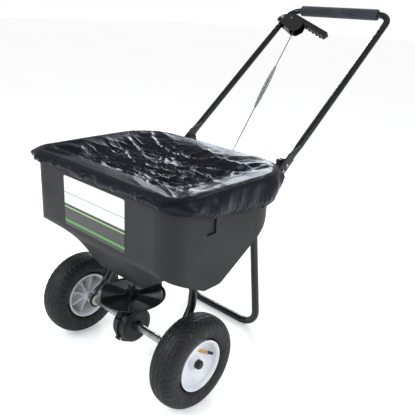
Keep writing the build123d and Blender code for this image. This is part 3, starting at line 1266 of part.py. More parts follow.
with BuildPart() as lever_bracket:
    with BuildSketch(HANDLE_PLANE.offset(-CHEEK_LIFT - CHEEK), HANDLE_PLANE.offset(CHEEK_LIFT)) as cheek:
        with BuildLine():
            Polyline((-262, -66), (-250, -50), (-204, -42), (-166, -50), (-120, -90), (-112, -124), (-132, -150),
                     (-160, -147), (-216, -113), (-262, -88), close=True)
        make_face()
        fillet(cheek.vertices(), 10)
    extrude(amount=CHEEK)
    with BuildSketch(HANDLE_PLANE.offset(-CHEEK_LIFT)):
        with BuildLine():
            Polyline((-216, -109), (-166, -139), (-166, -143), (-216, -113), close=True)
        make_face()
    extrude(amount=2 * CHEEK_LIFT)
    for place in (BRACKET_BOLT, LEVER_PIVOT):
        with Locations(Plane(origin=on_handle(*place), z_dir=SLOPE_NORMAL)):
            Cylinder(BOLT / 2 + FIT_GAP, 3 * HANDLE_TUBE, mode=Mode.SUBTRACT)
lever_bracket.part.label = "lever_bracket"
export_step(lever_bracket.part, "parts/lever_bracket.step")

bracket_grip = 2 * (CHEEK_LIFT + CHEEK)

with BuildPart() as lever_bracket_bolt:
    with Locations(Plane(origin=on_handle(*BRACKET_BOLT, bracket_grip / 2), z_dir=SLOPE_NORMAL)):
        add(dome_bolt(BOLT, bracket_grip + 3))
lever_bracket_bolt.part.label = "lever_bracket_bolt"
export_step(lever_bracket_bolt.part, "parts/lever_bracket_bolt.step")

with BuildPart() as lever_pivot_bolt:
    with Locations(Plane(origin=on_handle(*LEVER_PIVOT, bracket_grip / 2), z_dir=SLOPE_NORMAL)):
        add(hex_bolt(BOLT, bracket_grip))
lever_pivot_bolt.part.label = "lever_pivot_bolt"
export_step(lever_pivot_bolt.part, "parts/lever_pivot_bolt.step")


# Control rod: a hooked wire, a barrel spring and a second hooked wire down to the gate

rod_top = on_handle(*ROD_PIN, ROD_LIFT)
rod_foot = Vector(ROD_END_X, ROD_END_Y, ROD_END_Z)
rod_line = (rod_foot - rod_top).normalized()
spring_top = rod_top + rod_line * SPRING_START
spring_foot = spring_top + rod_line * SPRING_LENGTH

with BuildPart() as rod_upper:
    with BuildLine():
        route = FilletPolyline(on_handle(*ROD_PIN, 1 - ROD_LIFT), rod_top, spring_top + rod_line * WIRE_INSERT,
                               radius=ROD_BEND)
    with BuildSketch(Plane(origin=route @ 0, z_dir=route % 0)):
        Circle(ROD_WIRE / 2)
    sweep()
rod_upper.part.label = "rod_upper"
export_step(rod_upper.part, "parts/rod_upper.step")

with BuildPart() as rod_spring:
    with BuildSketch(Plane(origin=spring_top, x_dir=rod_line, z_dir=rod_line.cross(Vector(1, 0, 0)))):
        pitch = SPRING_LENGTH / SPRING_RIBS
        outline = []
        for index in range(SPRING_RIBS):
            swell = sin(radians(180 * (index + 0.5) / SPRING_RIBS)) ** 0.6
            radius = SPRING_END_DIAMETER / 2 + (SPRING_DIAMETER - SPRING_END_DIAMETER) / 2 * swell
            outline += [(index * pitch, radius - 1.2), ((index + 0.5) * pitch, radius)]
        outline += [(SPRING_LENGTH, SPRING_END_DIAMETER / 2 - 1)]
        with BuildLine():
            Polyline(*outline, (SPRING_LENGTH, ROD_WIRE / 2 + FIT_GAP),
                     (SPRING_LENGTH - WIRE_INSERT - 4, ROD_WIRE / 2 + FIT_GAP),
                     (SPRING_LENGTH * 0.6, SPRING_DIAMETER / 2 - 4), (SPRING_LENGTH * 0.4, SPRING_DIAMETER / 2 - 4),
                     (WIRE_INSERT + 4, ROD_WIRE / 2 + FIT_GAP), (0, ROD_WIRE / 2 + FIT_GAP), close=True)
        make_face()
    revolve(axis=Axis(spring_top, rod_line))
rod_spring.part.label = "rod_spring"
export_step(rod_spring.part, "parts/rod_spring.step")

with BuildPart() as rod_lower:
    with BuildLine():
        route = FilletPolyline(spring_foot - rod_line * WIRE_INSERT, rod_foot, rod_foot - Vector(0, 0, 27),
                               radius=ROD_BEND)
    with BuildSketch(Plane(origin=route @ 0, z_dir=route % 0)):
        Circle(ROD_WIRE / 2)
    sweep()
rod_lower.part.label = "rod_lower"
export_step(rod_lower.part, "parts/rod_lower.step")
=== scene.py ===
# Lawn spreader: materials, tyres, rain cover, control spring, label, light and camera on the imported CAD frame
import json
import math

import bmesh
import bpy
from mathutils import Matrix, Vector, noise


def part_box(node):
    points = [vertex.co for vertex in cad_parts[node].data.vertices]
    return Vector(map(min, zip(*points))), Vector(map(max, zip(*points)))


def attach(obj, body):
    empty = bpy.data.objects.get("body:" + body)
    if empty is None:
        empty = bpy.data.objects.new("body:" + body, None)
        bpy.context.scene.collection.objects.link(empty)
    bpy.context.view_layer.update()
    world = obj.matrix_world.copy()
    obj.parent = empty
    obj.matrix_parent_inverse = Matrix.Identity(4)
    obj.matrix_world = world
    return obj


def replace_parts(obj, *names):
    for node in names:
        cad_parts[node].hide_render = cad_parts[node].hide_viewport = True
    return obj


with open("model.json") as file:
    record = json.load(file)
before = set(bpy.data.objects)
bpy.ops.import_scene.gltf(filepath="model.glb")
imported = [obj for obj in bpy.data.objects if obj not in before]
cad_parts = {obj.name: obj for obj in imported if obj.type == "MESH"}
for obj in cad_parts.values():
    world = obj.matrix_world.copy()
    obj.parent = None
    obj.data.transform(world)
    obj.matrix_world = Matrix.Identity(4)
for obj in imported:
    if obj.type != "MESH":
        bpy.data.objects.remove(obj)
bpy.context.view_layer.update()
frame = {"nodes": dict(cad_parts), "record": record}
nodes = frame["nodes"]


# Camera
# It stands where the photograph's camera stood, worked out from the wheels, the axle, the stand and the grip.
CAMERA_PLACE = (1.2279, -1.0215, 1.1921)
CAMERA_AZIMUTH = 41.583
CAMERA_ELEVATION = 20.677
CAMERA_ROLL = 3.170
CAMERA_LENS = 45.97

azimuth = math.radians(CAMERA_AZIMUTH)
elevation = math.radians(CAMERA_ELEVATION)
roll = math.radians(CAMERA_ROLL)
back = Vector((math.sin(azimuth) * math.cos(elevation), -math.cos(azimuth) * math.cos(elevation),
               math.sin(elevation)))
level = Vector((math.cos(azimuth), math.sin(azimuth), 0))
right = level * math.cos(roll) + back.cross(level) * math.sin(roll)
up = back.cross(right)
camera_data = bpy.data.cameras.new("camera")
camera_data.lens = CAMERA_LENS
camera_data.sensor_width = 36
camera = bpy.data.objects.new("camera", camera_data)
camera.matrix_world = Matrix.Translation(CAMERA_PLACE) @ Matrix((right, up, back)).transposed().to_4x4()
bpy.context.scene.collection.objects.link(camera)
bpy.context.scene.camera = camera


# Shader helpers

def linear(code):
    """An sRGB colour such as "38393b" as linear red, green, blue and alpha."""
    parts = [int(code[i:i + 2], 16) / 255 for i in (0, 2, 4)]
    return tuple(p / 12.92 if p <= 0.04045 else ((p + 0.055) / 1.055) ** 2.4 for p in parts) + (1.0,)


def add_node(tree, kind, settings=None, **inputs):
    """Adds a node. Its inputs are values, or sockets to link from."""
    made = tree.nodes.new(kind)
    for key, value in (settings or {}).items():
        setattr(made, key, value)
    for key, value in inputs.items():
        socket = made.inputs[int(key[1:])] if key[0] == "_" and key[1:].isdigit() else made.inputs[key.replace("_", " ")]
        if isinstance(value, bpy.types.NodeSocket):
            tree.links.new(value, socket)
        else:
            socket.default_value = value
    return made


def new_material(name, colour, roughness, metallic=0.0, specular=0.5):
    """A material with its shader, and the object coordinates that its patterns use."""
    made = bpy.data.materials.new(name)
    made.use_nodes = True
    tree = made.node_tree
    shader = tree.nodes["Principled BSDF"]
    shader.inputs["Base Color"].default_value = linear(colour)
    shader.inputs["Roughness"].default_value = roughness
    shader.inputs["Metallic"].default_value = metallic
    shader.inputs["Specular IOR Level"].default_value = specular
    place = add_node(tree, "ShaderNodeTexCoord").outputs["Object"]
    return made, tree, shader, place


def vary_colour(tree, shader, place, dark, light, scale, detail=4.0):
    """Clouds of two near colours, as dust and handling leave them."""
    clouds = add_node(tree, "ShaderNodeTexNoise", Vector=place, Scale=scale, Detail=detail)
    ramp = add_node(tree, "ShaderNodeValToRGB", Fac=clouds.outputs["Fac"])
    ramp.color_ramp.elements[0].position = 0.3
    ramp.color_ramp.elements[0].color = linear(dark)
    ramp.color_ramp.elements[1].position = 0.72
    ramp.color_ramp.elements[1].color = linear(light)
    tree.links.new(ramp.outputs["Color"], shader.inputs["Base Color"])


def vary_roughness(tree, shader, place, low, high, scale):
    """Clouds of roughness, which break up the reflections."""
    clouds = add_node(tree, "ShaderNodeTexNoise", Vector=place, Scale=scale, Detail=5.0)
    ranged = add_node(tree, "ShaderNodeMapRange", Value=clouds.outputs["Fac"])
    ranged.inputs["From Min"].default_value = 0.3
    ranged.inputs["From Max"].default_value = 0.7
    ranged.inputs["To Min"].default_value = low
    ranged.inputs["To Max"].default_value = high
    tree.links.new(ranged.outputs["Result"], shader.inputs["Roughness"])


def bump(tree, shader, height, distance, strength=1.0, below=None):
    """Bumps of a height pattern, laid on the bumps below."""
    made = add_node(tree, "ShaderNodeBump", Height=height, Distance=distance, Strength=strength)
    if below is not None:
        tree.links.new(below, made.inputs["Normal"])
    tree.links.new(made.outputs["Normal"], shader.inputs["Normal"])
    return made.outputs["Normal"]


# Hopper plastic
# Dark charcoal moulded polypropylene with a fine matt grain and faint flow clouds.
hopper_plastic, tree, shader, place = new_material("moulded_charcoal_polypropylene", "252628", 0.5, specular=0.35)
vary_colour(tree, shader, place, "232426", "292a2c", 3.5)
vary_roughness(tree, shader, place, 0.42, 0.56, 6.0)
grain = add_node(tree, "ShaderNodeTexNoise", Vector=place, Scale=900.0, Detail=2.0)
waves = add_node(tree, "ShaderNodeTexNoise", Vector=place, Scale=7.0, Detail=1.0)
first = bump(tree, shader, waves.outputs["Fac"], 0.004)
bump(tree, shader, grain.outputs["Fac"], 0.0002, 0.7, first)

# Gear case, impeller and guide plastic
# Black glass-filled nylon, a little glossier than the hopper.
case_plastic, tree, shader, place = new_material("black_glass_filled_nylon", "121214", 0.42)
vary_colour(tree, shader, place, "0f0f11", "17171a", 14.0)
vary_roughness(tree, shader, place, 0.36, 0.48, 20.0)
grain = add_node(tree, "ShaderNodeTexNoise", Vector=place, Scale=1100.0, Detail=3.0)
bump(tree, shader, grain.outputs["Fac"], 0.0002, 0.3)

# Small glossy plastic pieces
# Black moulded caps, plugs, knobs, bracket and lever, polished by hands at their edges.
small_plastic, tree, shader, place = new_material("black_gloss_nylon", "111113", 0.28)
vary_colour(tree, shader, place, "0e0e10", "161619", 25.0)
vary_roughness(tree, shader, place, 0.24, 0.34, 40.0)
grain = add_node(tree, "ShaderNodeTexNoise", Vector=place, Scale=1600.0, Detail=2.0)
bump(tree, shader, grain.outputs["Fac"], 0.0001, 0.15)

# White bearing nylon
# Off-white, slightly waxy bushes and gears.
white_nylon, tree, shader, place = new_material("white_acetal", "e4e5e2", 0.35)
vary_colour(tree, shader, place, "dcddd9", "ecedeb", 30.0)
shader.inputs["Subsurface Weight"].default_value = 0.12
shader.inputs["Subsurface Scale"].default_value = 0.003

# Rim plastic
# White moulded rims with faint shading in their flow lines and a little dust.
rim_plastic, tree, shader, place = new_material("white_rim_polypropylene", "e6e8ec", 0.33)
vary_colour(tree, shader, place, "dde0e6", "f0f1f3", 16.0)
vary_roughness(tree, shader, place, 0.26, 0.42, 24.0)
grain = add_node(tree, "ShaderNodeTexNoise", Vector=place, Scale=420.0, Detail=2.0)
bump(tree, shader, grain.outputs["Fac"], 0.0002, 0.3)

# Powder coat
# Black semi-gloss powder coat on the steel tubes, with its orange peel.
powder_coat, tree, shader, place = new_material("black_powder_coated_steel", "101012", 0.3)
vary_colour(tree, shader, place, "0d0d0f", "161618", 18.0)
vary_roughness(tree, shader, place, 0.22, 0.38, 30.0)
peel = add_node(tree, "ShaderNodeTexNoise", Vector=place, Scale=380.0, Detail=1.5)
bump(tree, shader, peel.outputs["Fac"], 0.0001, 0.2)
shader.inputs["Coat Weight"].default_value = 0.15
shader.inputs["Coat Roughness"].default_value = 0.2

# Zinc plate
# Bright zinc with fine turning lines and dull patches.
zinc, tree, shader, place = new_material("zinc_plated_steel", "b9b9b4", 0.3, metallic=1.0)
vary_colour(tree, shader, place, "a3a39e", "c9c9c6", 60.0)
vary_roughness(tree, shader, place, 0.2, 0.42, 90.0)
stretched = add_node(tree, "ShaderNodeMapping", Vector=place, Scale=(1.0, 1.0, 14.0))
lines = add_node(tree, "ShaderNodeTexNoise", Vector=stretched.outputs["Vector"], Scale=120.0, Detail=3.0)
bump(tree, shader, lines.outputs["Fac"], 0.0002, 0.3)

# Brass valves
brass, tree, shader, place = new_material("turned_brass", "b58a45", 0.28, metallic=1.0)
vary_colour(tree, shader, place, "9d7436", "c79b55", 140.0)
vary_roughness(tree, shader, place, 0.2, 0.4, 200.0)

# Spring wire
spring_steel, tree, shader, place = new_material("plated_spring_wire", "b4b4b1", 0.35, metallic=1.0)
vary_colour(tree, shader, place, "9c9c9a", "c8c8c5", 120.0)
vary_roughness(tree, shader, place, 0.25, 0.45, 160.0)

# Foam grip
# Closed-cell foam rubber with open pores and a bluish dusty bloom on top.
foam, tree, shader, place = new_material("slate_foam_rubber", "2c3036", 0.82, specular=0.35)
vary_colour(tree, shader, place, "24272c", "363b43", 30.0)
pores = add_node(tree, "ShaderNodeTexVoronoi", Vector=place, Scale=700.0)
clouds = add_node(tree, "ShaderNodeTexNoise", Vector=place, Scale=260.0, Detail=4.0)
first = bump(tree, shader, clouds.outputs["Fac"], 0.0006, 0.6)
bump(tree, shader, pores.outputs["Distance"], 0.0005, 0.7, first)
shader.inputs["Sheen Weight"].default_value = 0.25
shader.inputs["Sheen Roughness"].default_value = 0.5

# Label film
# White film over a dark foot with two green stripes, with no words, under a gloss laminate.
label_film, tree, shader, place = new_material("printed_label_film", "f2f4f1", 0.22)
parts = add_node(tree, "ShaderNodeSeparateXYZ", Vector=place)
low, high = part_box("front_label")
LABEL_BANDS = ((0.0, "23291f"), (0.07, "4f9a3c"), (0.11, "23291f"), (0.36, "a8cf94"), (0.385, "23291f"),
               (0.44, "eef1ee"), (0.66, "69ad52"), (0.675, "eef1ee"))
ranged = add_node(tree, "ShaderNodeMapRange", Value=parts.outputs["Z"])
ranged.inputs["From Min"].default_value = low.z
ranged.inputs["From Max"].default_value = high.z
bands = add_node(tree, "ShaderNodeValToRGB", Fac=ranged.outputs["Result"])
bands.color_ramp.interpolation = "CONSTANT"
for i, (position, colour) in enumerate(LABEL_BANDS):
    element = bands.color_ramp.elements[i] if i < 2 else bands.color_ramp.elements.new(position)
    element.position = position
    element.color = linear(colour)
tree.links.new(bands.outputs["Color"], shader.inputs["Base Color"])
waves = add_node(tree, "ShaderNodeTexNoise", Vector=place, Scale=22.0, Detail=2.0)
bump(tree, shader, waves.outputs["Fac"], 0.0012, 0.5)
shader.inputs["Coat Weight"].default_value = 0.5
shader.inputs["Coat Roughness"].default_value = 0.12

# Tyre rubber
# Black rubber, greyer where dust sits, with moulded ribs that run out from the bead on the sidewalls.
tyre_rubber, tree, shader, place = new_material("black_tyre_rubber", "17181a", 0.5, specular=0.45)
vary_colour(tree, shader, place, "101113", "191a1d", 20.0)
vary_roughness(tree, shader, place, 0.42, 0.62, 45.0)
parts = add_node(tree, "ShaderNodeSeparateXYZ", Vector=place)
from_axle = add_node(tree, "ShaderNodeMath", {"operation": "SUBTRACT"}, _0=parts.outputs["Z"], _1=0.155)
turn = add_node(tree, "ShaderNodeMath", {"operation": "ARCTAN2"}, _0=from_axle.outputs["Value"],
                _1=parts.outputs["Y"])
RIBS_PER_RADIAN = 38.0
phase = add_node(tree, "ShaderNodeMath", {"operation": "MULTIPLY"}, _0=turn.outputs["Value"], _1=RIBS_PER_RADIAN)
ribs = add_node(tree, "ShaderNodeMath", {"operation": "SINE"}, _0=phase.outputs["Value"])
flat_place = add_node(tree, "ShaderNodeCombineXYZ", Y=parts.outputs["Y"], Z=from_axle.outputs["Value"])
reach = add_node(tree, "ShaderNodeVectorMath", {"operation": "LENGTH"}, _0=flat_place.outputs["Vector"])
inner = add_node(tree, "ShaderNodeMapRange", {"interpolation_type": "SMOOTHSTEP"}, Value=reach.outputs["Value"])
inner.inputs["From Min"].default_value = 0.096
inner.inputs["From Max"].default_value = 0.101
outer = add_node(tree, "ShaderNodeMapRange", {"interpolation_type": "SMOOTHSTEP"}, Value=reach.outputs["Value"])
outer.inputs["From Min"].default_value = 0.141
outer.inputs["From Max"].default_value = 0.136
zone = add_node(tree, "ShaderNodeMath", {"operation": "MULTIPLY"}, _0=inner.outputs["Result"],
                _1=outer.outputs["Result"])
masked = add_node(tree, "ShaderNodeMath", {"operation": "MULTIPLY"}, _0=ribs.outputs["Value"],
                  _1=zone.outputs["Value"])
first = bump(tree, shader, masked.outputs["Value"], 0.0006, 0.8)
grain = add_node(tree, "ShaderNodeTexNoise", Vector=place, Scale=700.0, Detail=2.0)
bump(tree, shader, grain.outputs["Fac"], 0.0002, 0.6, first)

# Rain cover cloth
# Coated black nylon, shiny on its creases, with a fine woven thread.
nylon_cloth, tree, shader, place = new_material("coated_black_nylon", "0c0d0f", 0.3, specular=0.28)
vary_colour(tree, shader, place, "08090b", "101216", 12.0)
vary_roughness(tree, shader, place, 0.3, 0.46, 14.0)
THREADS = 2200.0
across_threads = add_node(tree, "ShaderNodeTexWave", {"bands_direction": "X"}, Vector=place, Scale=THREADS / 20)
along_threads = add_node(tree, "ShaderNodeTexWave", {"bands_direction": "Y"}, Vector=place, Scale=THREADS / 20)
weave = add_node(tree, "ShaderNodeMath", {"operation": "MULTIPLY"}, _0=across_threads.outputs["Fac"],
                 _1=along_threads.outputs["Fac"])
crinkle = add_node(tree, "ShaderNodeTexNoise", Vector=place, Scale=60.0, Detail=5.0, Roughness=0.6)
first = bump(tree, shader, crinkle.outputs["Fac"], 0.003, 0.6)
bump(tree, shader, weave.outputs["Value"], 0.0001, 0.25, first)
shader.inputs["Sheen Weight"].default_value = 0.04
shader.inputs["Sheen Tint"].default_value = linear("aebfe0")
shader.inputs["Specular Tint"].default_value = linear("c3d3f2")
shader.inputs["Coat Weight"].default_value = 0.03
shader.inputs["Coat Roughness"].default_value = 0.2

FINISHES = {
    "black_hopper_plastic": hopper_plastic,
    "black_gear_case_plastic": case_plastic,
    "black_small_plastic": small_plastic,
    "white_nylon": white_nylon,
    "white_rim_plastic": rim_plastic,
    "black_tyre_rubber": tyre_rubber,
    "black_powder_coat": powder_coat,
    "zinc_plated_steel": zinc,
    "black_spring_steel": spring_steel,
    "brass": brass,
    "slate_foam_rubber": foam,
    "black_nylon_cloth": nylon_cloth,
    "white_and_green_label_film": label_film,
}
for entry in frame["record"]["subparts"]:
    carried = nodes[entry["node"]]
    carried.data.materials.clear()
    carried.data.materials.append(FINISHES[entry["material_slot"]])


# Mesh helpers

def smooth_step(low, high, value):
    """0 below low, 1 above high, and smooth between them."""
    share = min(1.0, max(0.0, (value - low) / (high - low)))
    return share * share * (3 - 2 * share)


def new_piece(name, points, faces, finish, body, smooth=True):
    """A mesh object that rides on a body of the frame."""
    mesh = bpy.data.meshes.new(name)
    mesh.from_pydata(points, [], faces)
    mesh.update()
    mesh.materials.append(finish)
    if smooth:
        mesh.polygons.foreach_set("use_smooth", [True] * len(mesh.polygons))
    made = bpy.data.objects.new(name, mesh)
    bpy.context.scene.collection.objects.link(made)
    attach(made, body)
    return made


def grid_faces(rows, columns, closed_rows=False):
    """The faces of a grid of points whose columns close on themselves, and whose rows may too."""
    last = rows if closed_rows else rows - 1
    faces = []
    for row in range(last):
        for column in range(columns):
            beside = (column + 1) % columns
            above = (row + 1) % rows
            faces.append((row * columns + column, row * columns + beside, above * columns + beside,
                          above * columns + column))
    return faces


# Tyres
# Pneumatic tyres with four zigzag grooves round the tread, cuts over the shoulders and a bead ring at the rim.
TYRE_RADIUS = 0.155
TYRE_BEAD = 0.0785
TYRE_HALF_WIDTH = 0.048
TYRE_ROUNDNESS = 2.3
TYRE_STEPS = 440
TYRE_ROWS = 116
GROOVES = (-0.0255, -0.0085, 0.0085, 0.0255)
GROOVE_HALF_WIDTH = 0.0017
GROOVE_DEPTH = 0.0032
ZIGZAG = 0.0026
ZIGZAGS = 44


def tyre_mesh(name, middle, body, node):
    """A tyre whose section is a rounded oval, with its grooves cut into the grid's points."""
    points = []
    half_height = (TYRE_RADIUS - TYRE_BEAD) / 2
    ring_radius = TYRE_BEAD + half_height
    for row in range(TYRE_ROWS):
        turn = math.radians(-180 + 360 * row / TYRE_ROWS)
        s, c = math.sin(turn), math.cos(turn)
        offset = math.copysign(abs(s) ** (2 / TYRE_ROUNDNESS), s) * TYRE_HALF_WIDTH
        radius = ring_radius + math.copysign(abs(c) ** (2 / TYRE_ROUNDNESS), c) * half_height
        side = abs(offset)
        bead_ring = 0.0011 * math.exp(-((radius - 0.0975) / 0.0016) ** 2)
        rim_ring = 0.0009 * math.exp(-((radius - 0.1385) / 0.0014) ** 2)
        for step in range(TYRE_STEPS):
            angle = 2 * math.pi * step / TYRE_STEPS
            swing = abs((angle / (2 * math.pi) * ZIGZAGS) % 1 * 2 - 1) * 2 - 1
            cut = 0.0
            if c > 0.2:
                near = min(abs(offset - place - swing * ZIGZAG) for place in GROOVES)
                cut = 1 - smooth_step(GROOVE_HALF_WIDTH * 0.55, GROOVE_HALF_WIDTH * 1.3, near)
                if side > 0.029:
                    notch = abs((angle / (2 * math.pi) * ZIGZAGS + (0.5 if offset > 0 else 0)) % 1 - 0.5)
                    shoulder = smooth_step(0.029, 0.031, side) * (1 - smooth_step(0.039, 0.043, side))
                    cut = max(cut, (1 - smooth_step(0.06, 0.13, notch)) * shoulder)
            here = radius - GROOVE_DEPTH * cut
            out = offset + math.copysign(bead_ring + rim_ring, offset) * (side > 0.03)
            points.append((middle + out, here * math.sin(angle), TYRE_RADIUS + here * math.cos(angle)))
    made = new_piece(name, points, grid_faces(TYRE_ROWS, TYRE_STEPS, True), tyre_rubber, body)
    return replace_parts(made, node)


tyre_mesh("tyre_left_treaded", 0.290, "drive_axle", "tyre_left")
tyre_mesh("tyre_right_treaded", -0.290, "right_wheel", "tyre_right")


# Rain cover
# One sheet of coated nylon over the hopper's rim. It sags in the middle, where it is crinkled, folds run in from
# the corners, and an elastic in its hem gathers the skirt.
RIM_HALF = 0.355
RIM_FRONT_Y = -0.1565
RIM_BACK_Y = 0.3865
RIM_FRONT_RADIUS = 0.081
RIM_BACK_RADIUS = 0.158
COVER_TOP = 0.734
COVER_EDGE_DROP = 0.0065
COVER_SAG = 0.034
COVER_COLUMNS = 600
TOP_ROWS = 72
SKIRT_ROWS = 34
HEM = ((-0.19, 0.706), (-0.12, 0.688), (0.0, 0.655), (0.15, 0.636), (0.30, 0.639), (0.42, 0.656))


def rim_distance(x, y, grow=0.0):
    """How far a place is outside the rim's outline, and negative inside it."""
    middle_y = (RIM_FRONT_Y + RIM_BACK_Y) / 2
    radius = RIM_FRONT_RADIUS if y < middle_y else RIM_BACK_RADIUS
    dx = abs(x) - (RIM_HALF + grow - radius)
    dy = abs(y - middle_y) - ((RIM_BACK_Y - RIM_FRONT_Y) / 2 + grow - radius)
    return math.hypot(max(dx, 0), max(dy, 0)) + min(max(dx, dy), 0) - radius


def rim_outline(count):
    """Places at equal steps round the rim, with the way out at each."""
    arcs = [(RIM_HALF - RIM_FRONT_RADIUS, RIM_FRONT_Y + RIM_FRONT_RADIUS, RIM_FRONT_RADIUS, -90),
            (RIM_HALF - RIM_BACK_RADIUS, RIM_BACK_Y - RIM_BACK_RADIUS, RIM_BACK_RADIUS, 0),
            (-RIM_HALF + RIM_BACK_RADIUS, RIM_BACK_Y - RIM_BACK_RADIUS, RIM_BACK_RADIUS, 90),
            (-RIM_HALF + RIM_FRONT_RADIUS, RIM_FRONT_Y + RIM_FRONT_RADIUS, RIM_FRONT_RADIUS, 180)]
    dense = []
    for x, y, radius, start in arcs:
        for step in range(61):
            turn = math.radians(start + 1.5 * step)
            out = Vector((math.cos(turn), math.sin(turn)))
            dense.append((Vector((x, y)) + out * radius, out))
    dense.append(dense[0])
    reach = [0.0]
    for (a, _), (b, _) in zip(dense, dense[1:]):
        reach.append(reach[-1] + (b - a).length)
    places = []
    at = 0
    for step in range(count):
        wanted = reach[-1] * step / count
        while reach[at + 1] < wanted:
            at += 1
        share = (wanted - reach[at]) / max(reach[at + 1] - reach[at], 1e-9)
        places.append((dense[at][0].lerp(dense[at + 1][0], share), dense[at][1].lerp(dense[at + 1][1], share), wanted))
    return places, reach[-1]


def hem_height(y):
    """Height of the hem by its place from front to back."""
    for (y0, z0), (y1, z1) in zip(HEM, HEM[1:]):
        if y <= y1:
            return z0 + (z1 - z0) * smooth_step(y0, y1, y)
    return HEM[-1][1]


def ridged(x, y, z=0.0):
    """Creases: sharp ridges between soft hollows, from 0 to 1."""
    return 1 - min(1.0, abs(noise.noise(Vector((x, y, z)))) * 2.6)


FOLD_CORNERS = ((0.350, -0.150), (-0.350, -0.150), (0.335, 0.365), (-0.335, 0.365))


def corner_bunch(x, y):
    """1 at the rim's corners, where the cloth bunches up, and 0 far from them."""
    return max(math.exp(-(((x - cx * 0.96) ** 2 + (y - cy * 0.94) ** 2) / 0.10 ** 2)) for cx, cy in FOLD_CORNERS)


def top_height(x, y):
    """Height of the cloth inside the rim."""
    inside = -rim_distance(x, y)
    sag = COVER_SAG * smooth_step(0.03, 0.17, inside)
    slack = smooth_step(0.05, 0.12, inside)
    bend = noise.noise_vector(Vector((x * 3.2, y * 3.2, 4.0))) * 0.35
    u, v = x * 1.0 + bend.x * 0.12, y * 1.0 + bend.y * 0.12
    crease = ridged(u * 5.5, v * 13, 1.7) ** 2 * 0.012
    crease += ridged(u * 15 + v * 7, v * 26 - u * 9, 5.1) ** 2 * 0.0068
    crease += ridged(u * 34 - v * 15, v * 47 + u * 12, 8.3) ** 3 * 0.0030
    height = COVER_TOP - sag + (crease - 0.008) * slack
    ripple = ridged(x * 4.2 + bend.y, y * 11 + bend.x, 6.6)
    height += 0.0042 * (ripple ** 2 - 0.35) * smooth_step(0.006, 0.04, inside) * (1 - slack)
    height -= COVER_EDGE_DROP * (1 - smooth_step(-0.004, 0.016, inside))
    for cx, cy in FOLD_CORNERS:
        reach = math.hypot(x - cx, y - cy)
        turn = math.atan2(y - cy, x - cx)
        rays = ridged(turn * 3.1 + cx * 9, reach * 2.2, cy * 7)
        fade = math.exp(-((reach - 0.13) / 0.10) ** 2) * smooth_step(0.004, 0.04, inside)
        height += 0.0085 * (rays ** 2 - 0.3) * fade
    height += 0.0025 * noise.noise(Vector((x * 9, y * 9, 2.2))) * smooth_step(0.0, 0.05, inside)
    return height


places, rim_length = rim_outline(COVER_COLUMNS)
middle = Vector((0.0, (RIM_FRONT_Y + RIM_BACK_Y) / 2))
cover_points = []
for row in range(TOP_ROWS):
    share = (row + 0.5) / TOP_ROWS
    for place, out, along in places:
        spot = middle.lerp(place, share)
        cover_points.append((spot.x, spot.y, top_height(spot.x, spot.y)))
for row in range(SKIRT_ROWS + 1):
    share = row / SKIRT_ROWS
    for place, out, along in places:
        bunch = corner_bunch(place.x, place.y)
        hem = hem_height(place.y) + 0.004 * noise.noise(Vector((place.x * 11, place.y * 11, 9.0)))
        edge = top_height(place.x, place.y)
        drop = edge - hem
        fall = share * drop
        turn_over = 0.004 * (1 - math.exp(-fall / 0.006))
        slant = along + 0.35 * fall
        folds = noise.noise(Vector((place.x * 14 + fall * 9, place.y * 14 + fall * 4, fall * 9)))
        creased = ridged(slant * 17, fall * 7, 3.3) - 0.5
        swell = math.sin(math.pi * min(1.0, share * 1.05)) * (0.005 + 0.006 * bunch)
        pleats = math.sin(along * 2 * math.pi / 0.0165 + 4 * noise.noise(Vector((along * 9, 0, 0))))
        pleats *= 0.0022 * smooth_step(0.35, 0.95, share) * (0.6 + 0.5 * noise.noise(Vector((along * 6, 7, 0))))
        tuck = -0.006 * smooth_step(0.72, 1.0, share)
        push = turn_over + swell + pleats + tuck
        push += (folds * 0.011 + creased * 0.009) * smooth_step(0.0, 0.35, share) * (0.7 + 0.9 * bunch)
        push = max(push, 0.0012)
        spot = place + out * push
        cover_points.append((spot.x, spot.y, edge - fall))
rows = TOP_ROWS + SKIRT_ROWS + 1
cover_faces = grid_faces(rows, COVER_COLUMNS)
cover_points.append((middle.x, middle.y, top_height(middle.x, middle.y)))
centre = len(cover_points) - 1
cover_faces += [(centre, (column + 1) % COVER_COLUMNS, column) for column in range(COVER_COLUMNS)]
cover_faces = [tuple(reversed(face)) for face in cover_faces]
cover = new_piece("rain_cover_cloth", cover_points, cover_faces, nylon_cloth, "rain_cover")
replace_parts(cover, "rain_cover")
cover_area = sum(face.area for face in cover.data.polygons)
print("cover area", cover_area)


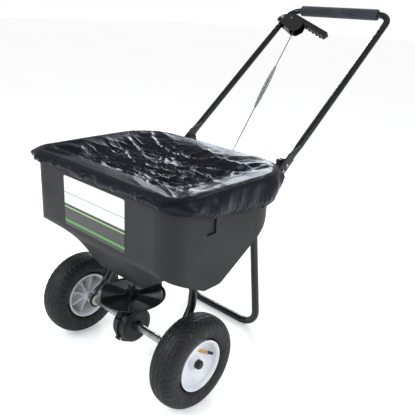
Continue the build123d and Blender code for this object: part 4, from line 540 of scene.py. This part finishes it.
# Control spring
# A close-wound coil spring on the rod, narrower at both ends, where it hooks on to the wires.
SPRING_RADIUS = 0.0095
SPRING_END_RADIUS = 0.0045
SPRING_WIRE = 0.0013
SPRING_TURNS = 84
ROD_TOP = Vector((-0.145, 1.0488, 1.1290)) + Vector((0, -0.61604561, 0.78771049)) * 0.009
ROD_FOOT = Vector((0.020, 0.200, 0.350))
rod_way = (ROD_TOP - ROD_FOOT).normalized()
spring_top = ROD_TOP - rod_way * 0.240
spring_low = ROD_TOP - rod_way * 0.464
side_way = rod_way.orthogonal().normalized()
third_way = rod_way.cross(side_way)
coil = bpy.data.curves.new("control_spring_coil", "CURVE")
coil.dimensions = "3D"
coil.bevel_depth = SPRING_WIRE
coil.bevel_resolution = 2
path = coil.splines.new("POLY")
COIL_STEPS = SPRING_TURNS * 12
path.points.add(COIL_STEPS)
for step in range(COIL_STEPS + 1):
    share = step / COIL_STEPS
    turn = 2 * math.pi * SPRING_TURNS * share
    wide = math.sin(math.pi * share) ** 0.75
    radius = SPRING_END_RADIUS + (SPRING_RADIUS - SPRING_END_RADIUS) * wide - SPRING_WIRE
    place = spring_low.lerp(spring_top, share) + (side_way * math.cos(turn) + third_way * math.sin(turn)) * radius
    path.points[step].co = (*place, 1.0)
coil.materials.append(spring_steel)
control_spring = bpy.data.objects.new("control_spring_coil", coil)
bpy.context.scene.collection.objects.link(control_spring)
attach(control_spring, "control_rod")
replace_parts(control_spring, "rod_spring")


# Studio
# A pale floor, a white surround and soft boxes above, in front and behind.
floor_mesh = bpy.data.meshes.new("studio_floor")
floor_mesh.from_pydata([(-30, -30, 0), (30, -30, 0), (30, 30, 0), (-30, 30, 0)], [], [(0, 1, 2, 3)])
floor = bpy.data.objects.new("studio_floor", floor_mesh)
bpy.context.scene.collection.objects.link(floor)
floor_paint, tree, shader, place = new_material("matt_white_floor", "ffffff", 0.95, specular=0.0)
vary_colour(tree, shader, place, "fbfbfb", "ffffff", 0.6)
floor_glow = add_node(tree, "ShaderNodeLightPath")
lit = add_node(tree, "ShaderNodeMath", {"operation": "MULTIPLY"}, _0=floor_glow.outputs["Is Camera Ray"], _1=0.35)
shader.inputs["Emission Color"].default_value = linear("ffffff")
tree.links.new(lit.outputs["Value"], shader.inputs["Emission Strength"])
floor_mesh.materials.append(floor_paint)

SURROUND_LIGHT = 0.62
SURROUND_GLOSS = 0.32
world = bpy.data.worlds.new("studio")
bpy.context.scene.world = world
world.use_nodes = True
background = world.node_tree.nodes["Background"]
background.inputs["Color"].default_value = linear("ffffff")
light_path = add_node(world.node_tree, "ShaderNodeLightPath")
seen = add_node(world.node_tree, "ShaderNodeMapRange", Value=light_path.outputs["Is Camera Ray"])
seen.inputs["To Min"].default_value = SURROUND_LIGHT
seen.inputs["To Max"].default_value = 1.0
glossy = add_node(world.node_tree, "ShaderNodeMath", {"operation": "MULTIPLY"},
                  _0=light_path.outputs["Is Glossy Ray"], _1=SURROUND_LIGHT - SURROUND_GLOSS)
strength = add_node(world.node_tree, "ShaderNodeMath", {"operation": "SUBTRACT"}, _0=seen.outputs["Result"],
                    _1=glossy.outputs["Value"])
world.node_tree.links.new(strength.outputs["Value"], background.inputs["Strength"])


def soft_box(name, place, target, size, power):
    """A square area light that faces a target."""
    lamp_data = bpy.data.lights.new(name, "AREA")
    lamp_data.size = size
    lamp_data.energy = power
    lamp_data.color = (0.88, 0.94, 1.0)
    lamp = bpy.data.objects.new(name, lamp_data)
    lamp.location = place
    lamp.rotation_mode = "QUATERNION"
    lamp.rotation_quaternion = (Vector(target) - Vector(place)).to_track_quat("-Z", "Y")
    bpy.context.scene.collection.objects.link(lamp)


soft_box("key_box", (-0.6, -2.6, 2.8), (0, 0.1, 0.5), 1.6, 70)
soft_box("back_box", (-1.7, 2.7, 1.9), (0, 0.1, 0.6), 0.9, 42)
soft_box("side_box", (2.8, 0.6, 1.8), (0, 0.2, 0.4), 1.4, 30)

scene = bpy.context.scene
scene.view_settings.view_transform = "Standard"
scene.view_settings.look = "None"
